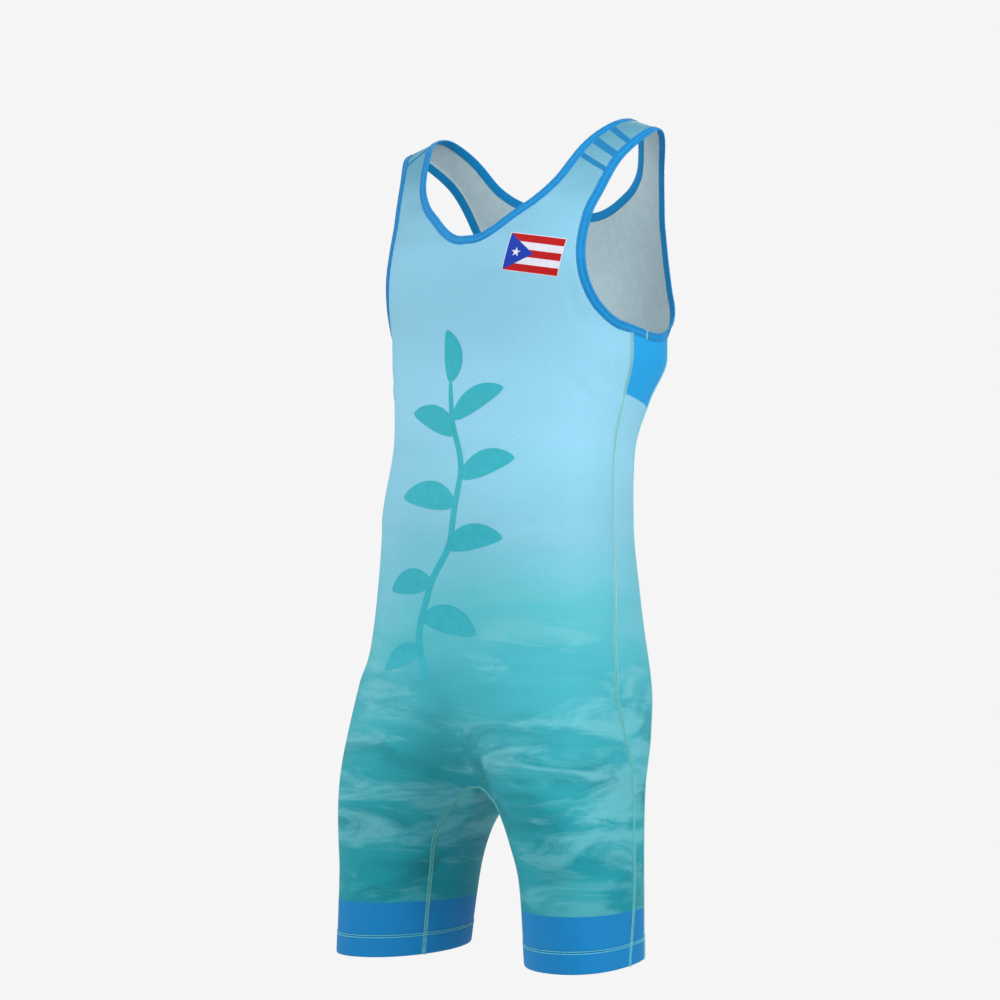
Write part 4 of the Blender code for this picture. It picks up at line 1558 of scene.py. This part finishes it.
# %% Panel seams and hems
ladder, edges = [], []
for line, out in seam_lines():
    ladder += both_sides(line + out * (SURFACE - LADDER_SUNK), out, False)
    for distance in (-SEAM_EDGE, SEAM_EDGE):
        edge = beside(line, out, distance) + out * (SURFACE - EDGE_SUNK)
        edges += both_sides(edge, out, False)
seam_ladder = sew("seam_ladder", ladder, LADDER_STEP, rung, SEAM_THREAD)
seam_edges = sew("seam_edges", edges, EDGE_STEP, long_stitch, SEAM_THREAD)

hems = []
for height in (HEM_FOLD - HEM_ROW, HEM_FOLD + HEM_ROW):
    hems += both_sides(*hem_loop(height, SURFACE + HEM_THICK * HEM_ROW_HIGH), True)
hem_rows = sew("hem_rows", hems, HEM_STITCH, long_stitch, SEAM_THREAD)

# %% [markdown]
# Two rows of blue thread hold each tape. Where a tape's ends meet under the arm, a short ladder
# of the seams' thread crosses it.

# %% Tape rows
def tape_row(loop, out, row):
    return loop + tape_frame(loop, out) * row + out * (TAPE_THICK * TAPE_ROW_HIGH)


neck_lines, arm_left, arm_right = [], [], []
for row in TAPE_STITCHES:
    neck_lines.append((tape_row(NECK_EDGE, NECK_OUT, row), NECK_OUT, True))
    left, right = both_sides(tape_row(ARM_EDGE, ARM_OUT, row), ARM_OUT, True)
    arm_left.append(left)
    arm_right.append(right)

join = int(np.argmin(np.linalg.norm(ARM_EDGE - SIDE[-1, len(SIDE[-1]) // 3], axis=1)))
shares = np.linspace(0.05, 1.0, 12)[:, None]
across_tape = ARM_EDGE[join] + tape_frame(ARM_EDGE, ARM_OUT)[join] * TAPE_WIDTH * shares
join_row = across_tape + ARM_OUT[join] * TAPE_THICK * JOIN_HIGH
join_out = np.tile(ARM_OUT[join], (len(join_row), 1))
join_lines = both_sides(join_row, join_out, False)
tape_joins = sew("tape_joins", join_lines, JOIN_STEP, rung, SEAM_THREAD)
neck_rows, arm_rows_left, arm_rows_right = (
    sew(name, lines, TAPE_ROW_STEP, long_stitch, TAPE_THREAD)
    for name, lines in (("neck_rows", neck_lines), ("armhole_rows_left", arm_left),
                        ("armhole_rows_right", arm_right))
)

# %% [markdown]
# ## Who rides on what
# The cloth pieces stand for their solids, which are hidden, and each is listed with a slot and the
# flat size of its cut. Each is attached to the root body, and so are the sewing and printed films.

# %% Bodies, nodes and cuts
pieces = {
    front: ("front_panel", "printed_knit", (0.425, 0.870), 0.287),
    back: ("back_panel", "printed_knit", (0.370, 0.860), 0.219),
    side_left: ("side_panel_left", "side_knit", (0.074, 0.640), 0.0350),
    side_right: ("side_panel_right", "side_knit", (0.074, 0.640), 0.0350),
    gusset: ("gusset", "printed_knit", (0.150, 0.370), 0.047),
    neck_tape: ("neck_binding", "binding_tape", (0.0105, 0.840), 0.0088),
    arm_tape_left: ("armhole_binding_left", "binding_tape", (0.0105, 0.610), 0.0064),
    arm_tape_right: ("armhole_binding_right", "binding_tape", (0.0105, 0.610), 0.0064),
}
carried = {
    front: [flag, sprig, seam_ladder, seam_edges, hem_rows],
    neck_tape: [neck_rows],
    arm_tape_left: [arm_rows_left, tape_joins],
    arm_tape_right: [arm_rows_right],
}
for piece, (node, slot, flat, area) in pieces.items():
    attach(piece, "root")
    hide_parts(node)
    on = carried.get(piece, [])
    for extra in on:
        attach(extra, "root")
print("pieces:", len(pieces), "with", sum(len(on) for on in carried.values()), "on them")

# %% [markdown]
# ## Studio
# A round pale floor lies below, in front of an even backdrop. The main soft light stands at the
# suit's left side, and weaker ones stand in front, at its right and behind. The camera stands
# at the photograph's angle, with no shift.

# %% Floor
FLOOR_Z = -1.25
FLOOR_PALE = (0.74, 0.74, 0.74)
FLOOR_RADIUS = 2.2       # a round pale floor under the suit
FLOOR_SIDES = 96


def make_floor():
    """A plain pale floor, wide enough for every view."""
    turns = np.linspace(0, 2 * np.pi, FLOOR_SIDES + 1)[:-1]
    rim = [(FLOOR_RADIUS * math.cos(t), FLOOR_RADIUS * math.sin(t), FLOOR_Z) for t in turns]
    mesh = bpy.data.meshes.new("floor")
    mesh.from_pydata(rim, [], [tuple(range(len(rim)))])
    pale, tree, shader = new_material("floor_pale")
    cloudy = noise(tree, place_on(tree), 0.6, 2.0, 0.5)
    tinted(tree, shader, FLOOR_PALE, ranged(tree, cloudy, 0.3, 0.7, 0.995, 1.0))
    fill(tree, shader, [("Roughness", 0.9)])
    mesh.materials.append(pale)
    in_scene("floor", mesh)


make_floor()
print("floor:", FLOOR_RADIUS, "m round, at", FLOOR_Z, "m")

# %% [markdown]
# Large square lights give the soft, slow shades of a photographer's studio. The strongest
# stands at the suit's left side, so that the form turns softly towards the front. The surround
# is pale to the camera and weaker as a light, which keeps the shades deep enough.

# %% Lights
BACKDROP = 0.915         # the pale backdrop as it is seen
SURROUND_LIGHT = 0.35    # and the soft light that comes from all round
AIM = Vector((0, 0, -0.42))

# Each light's azimuth, elevation, distance, size and power
LIGHTS = {
    "key": (84, 26, 3.2, 1.8, 104),
    "front": (-6, 38, 3.4, 2.2, 82),
    "left": (-64, 20, 3.4, 2.0, 48),
    "rear": (205, 26, 3.4, 2.0, 66),
}


def toward(azimuth, elevation):
    """The direction to an azimuth, from the front round to the left, and an elevation."""
    a, e = math.radians(azimuth), math.radians(elevation)
    return Vector((math.sin(a) * math.cos(e), -math.cos(a) * math.cos(e), math.sin(e)))


def make_light(name, azimuth, elevation, distance, size, power):
    """A square soft light that looks at the middle of the suit."""
    data = bpy.data.lights.new(name, "AREA")
    data.size = size
    data.energy = power
    made = in_scene(name, data)
    made.location = AIM + distance * toward(azimuth, elevation)
    made.rotation_euler = (AIM - made.location).to_track_quat("-Z", "Y").to_euler()


for name, row in LIGHTS.items():
    make_light(name, *row)

world = bpy.data.worlds.new("studio")
world.use_nodes = True
sky = world.node_tree
seen = add(sky, "ShaderNodeLightPath").outputs["Is Camera Ray"]
strength = ranged(sky, seen, 0.0, 1.0, SURROUND_LIGHT, BACKDROP)
fill(sky, sky.nodes["Background"], [("Color", (1.0, 1.0, 1.0, 1.0)), ("Strength", strength)])
bpy.context.scene.world = world
bpy.context.scene.view_settings.view_transform = "Standard"
print("lights:", list(LIGHTS))

# %% [markdown]
# A long lens from three metres keeps the suit's proportions. The camera looks up by about
# two degrees and a little aside, which puts the horizon and the suit where they are in the
# photograph.

# %% Camera
CAMERA_AZIMUTH = 35.0
CAMERA_DISTANCE = 3.0
CAMERA_Z = -0.493
CAMERA_LENS = 103.8
CAMERA_UP = 2.164        # looks up this much, which puts the horizon where it is
CAMERA_ASIDE = 0.675
camera_data = bpy.data.cameras.new("camera")
camera_data.lens = CAMERA_LENS
camera_data.sensor_width = 36.0
camera = in_scene("camera", camera_data)
camera.location = CAMERA_DISTANCE * toward(CAMERA_AZIMUTH, 0) + Vector((0, 0, CAMERA_Z))
turned = (90 + CAMERA_UP, 0, CAMERA_AZIMUTH + CAMERA_ASIDE)
camera.rotation_euler = [math.radians(angle) for angle in turned]
bpy.context.scene.camera = camera
print("camera at", [round(v, 3) for v in camera.location])
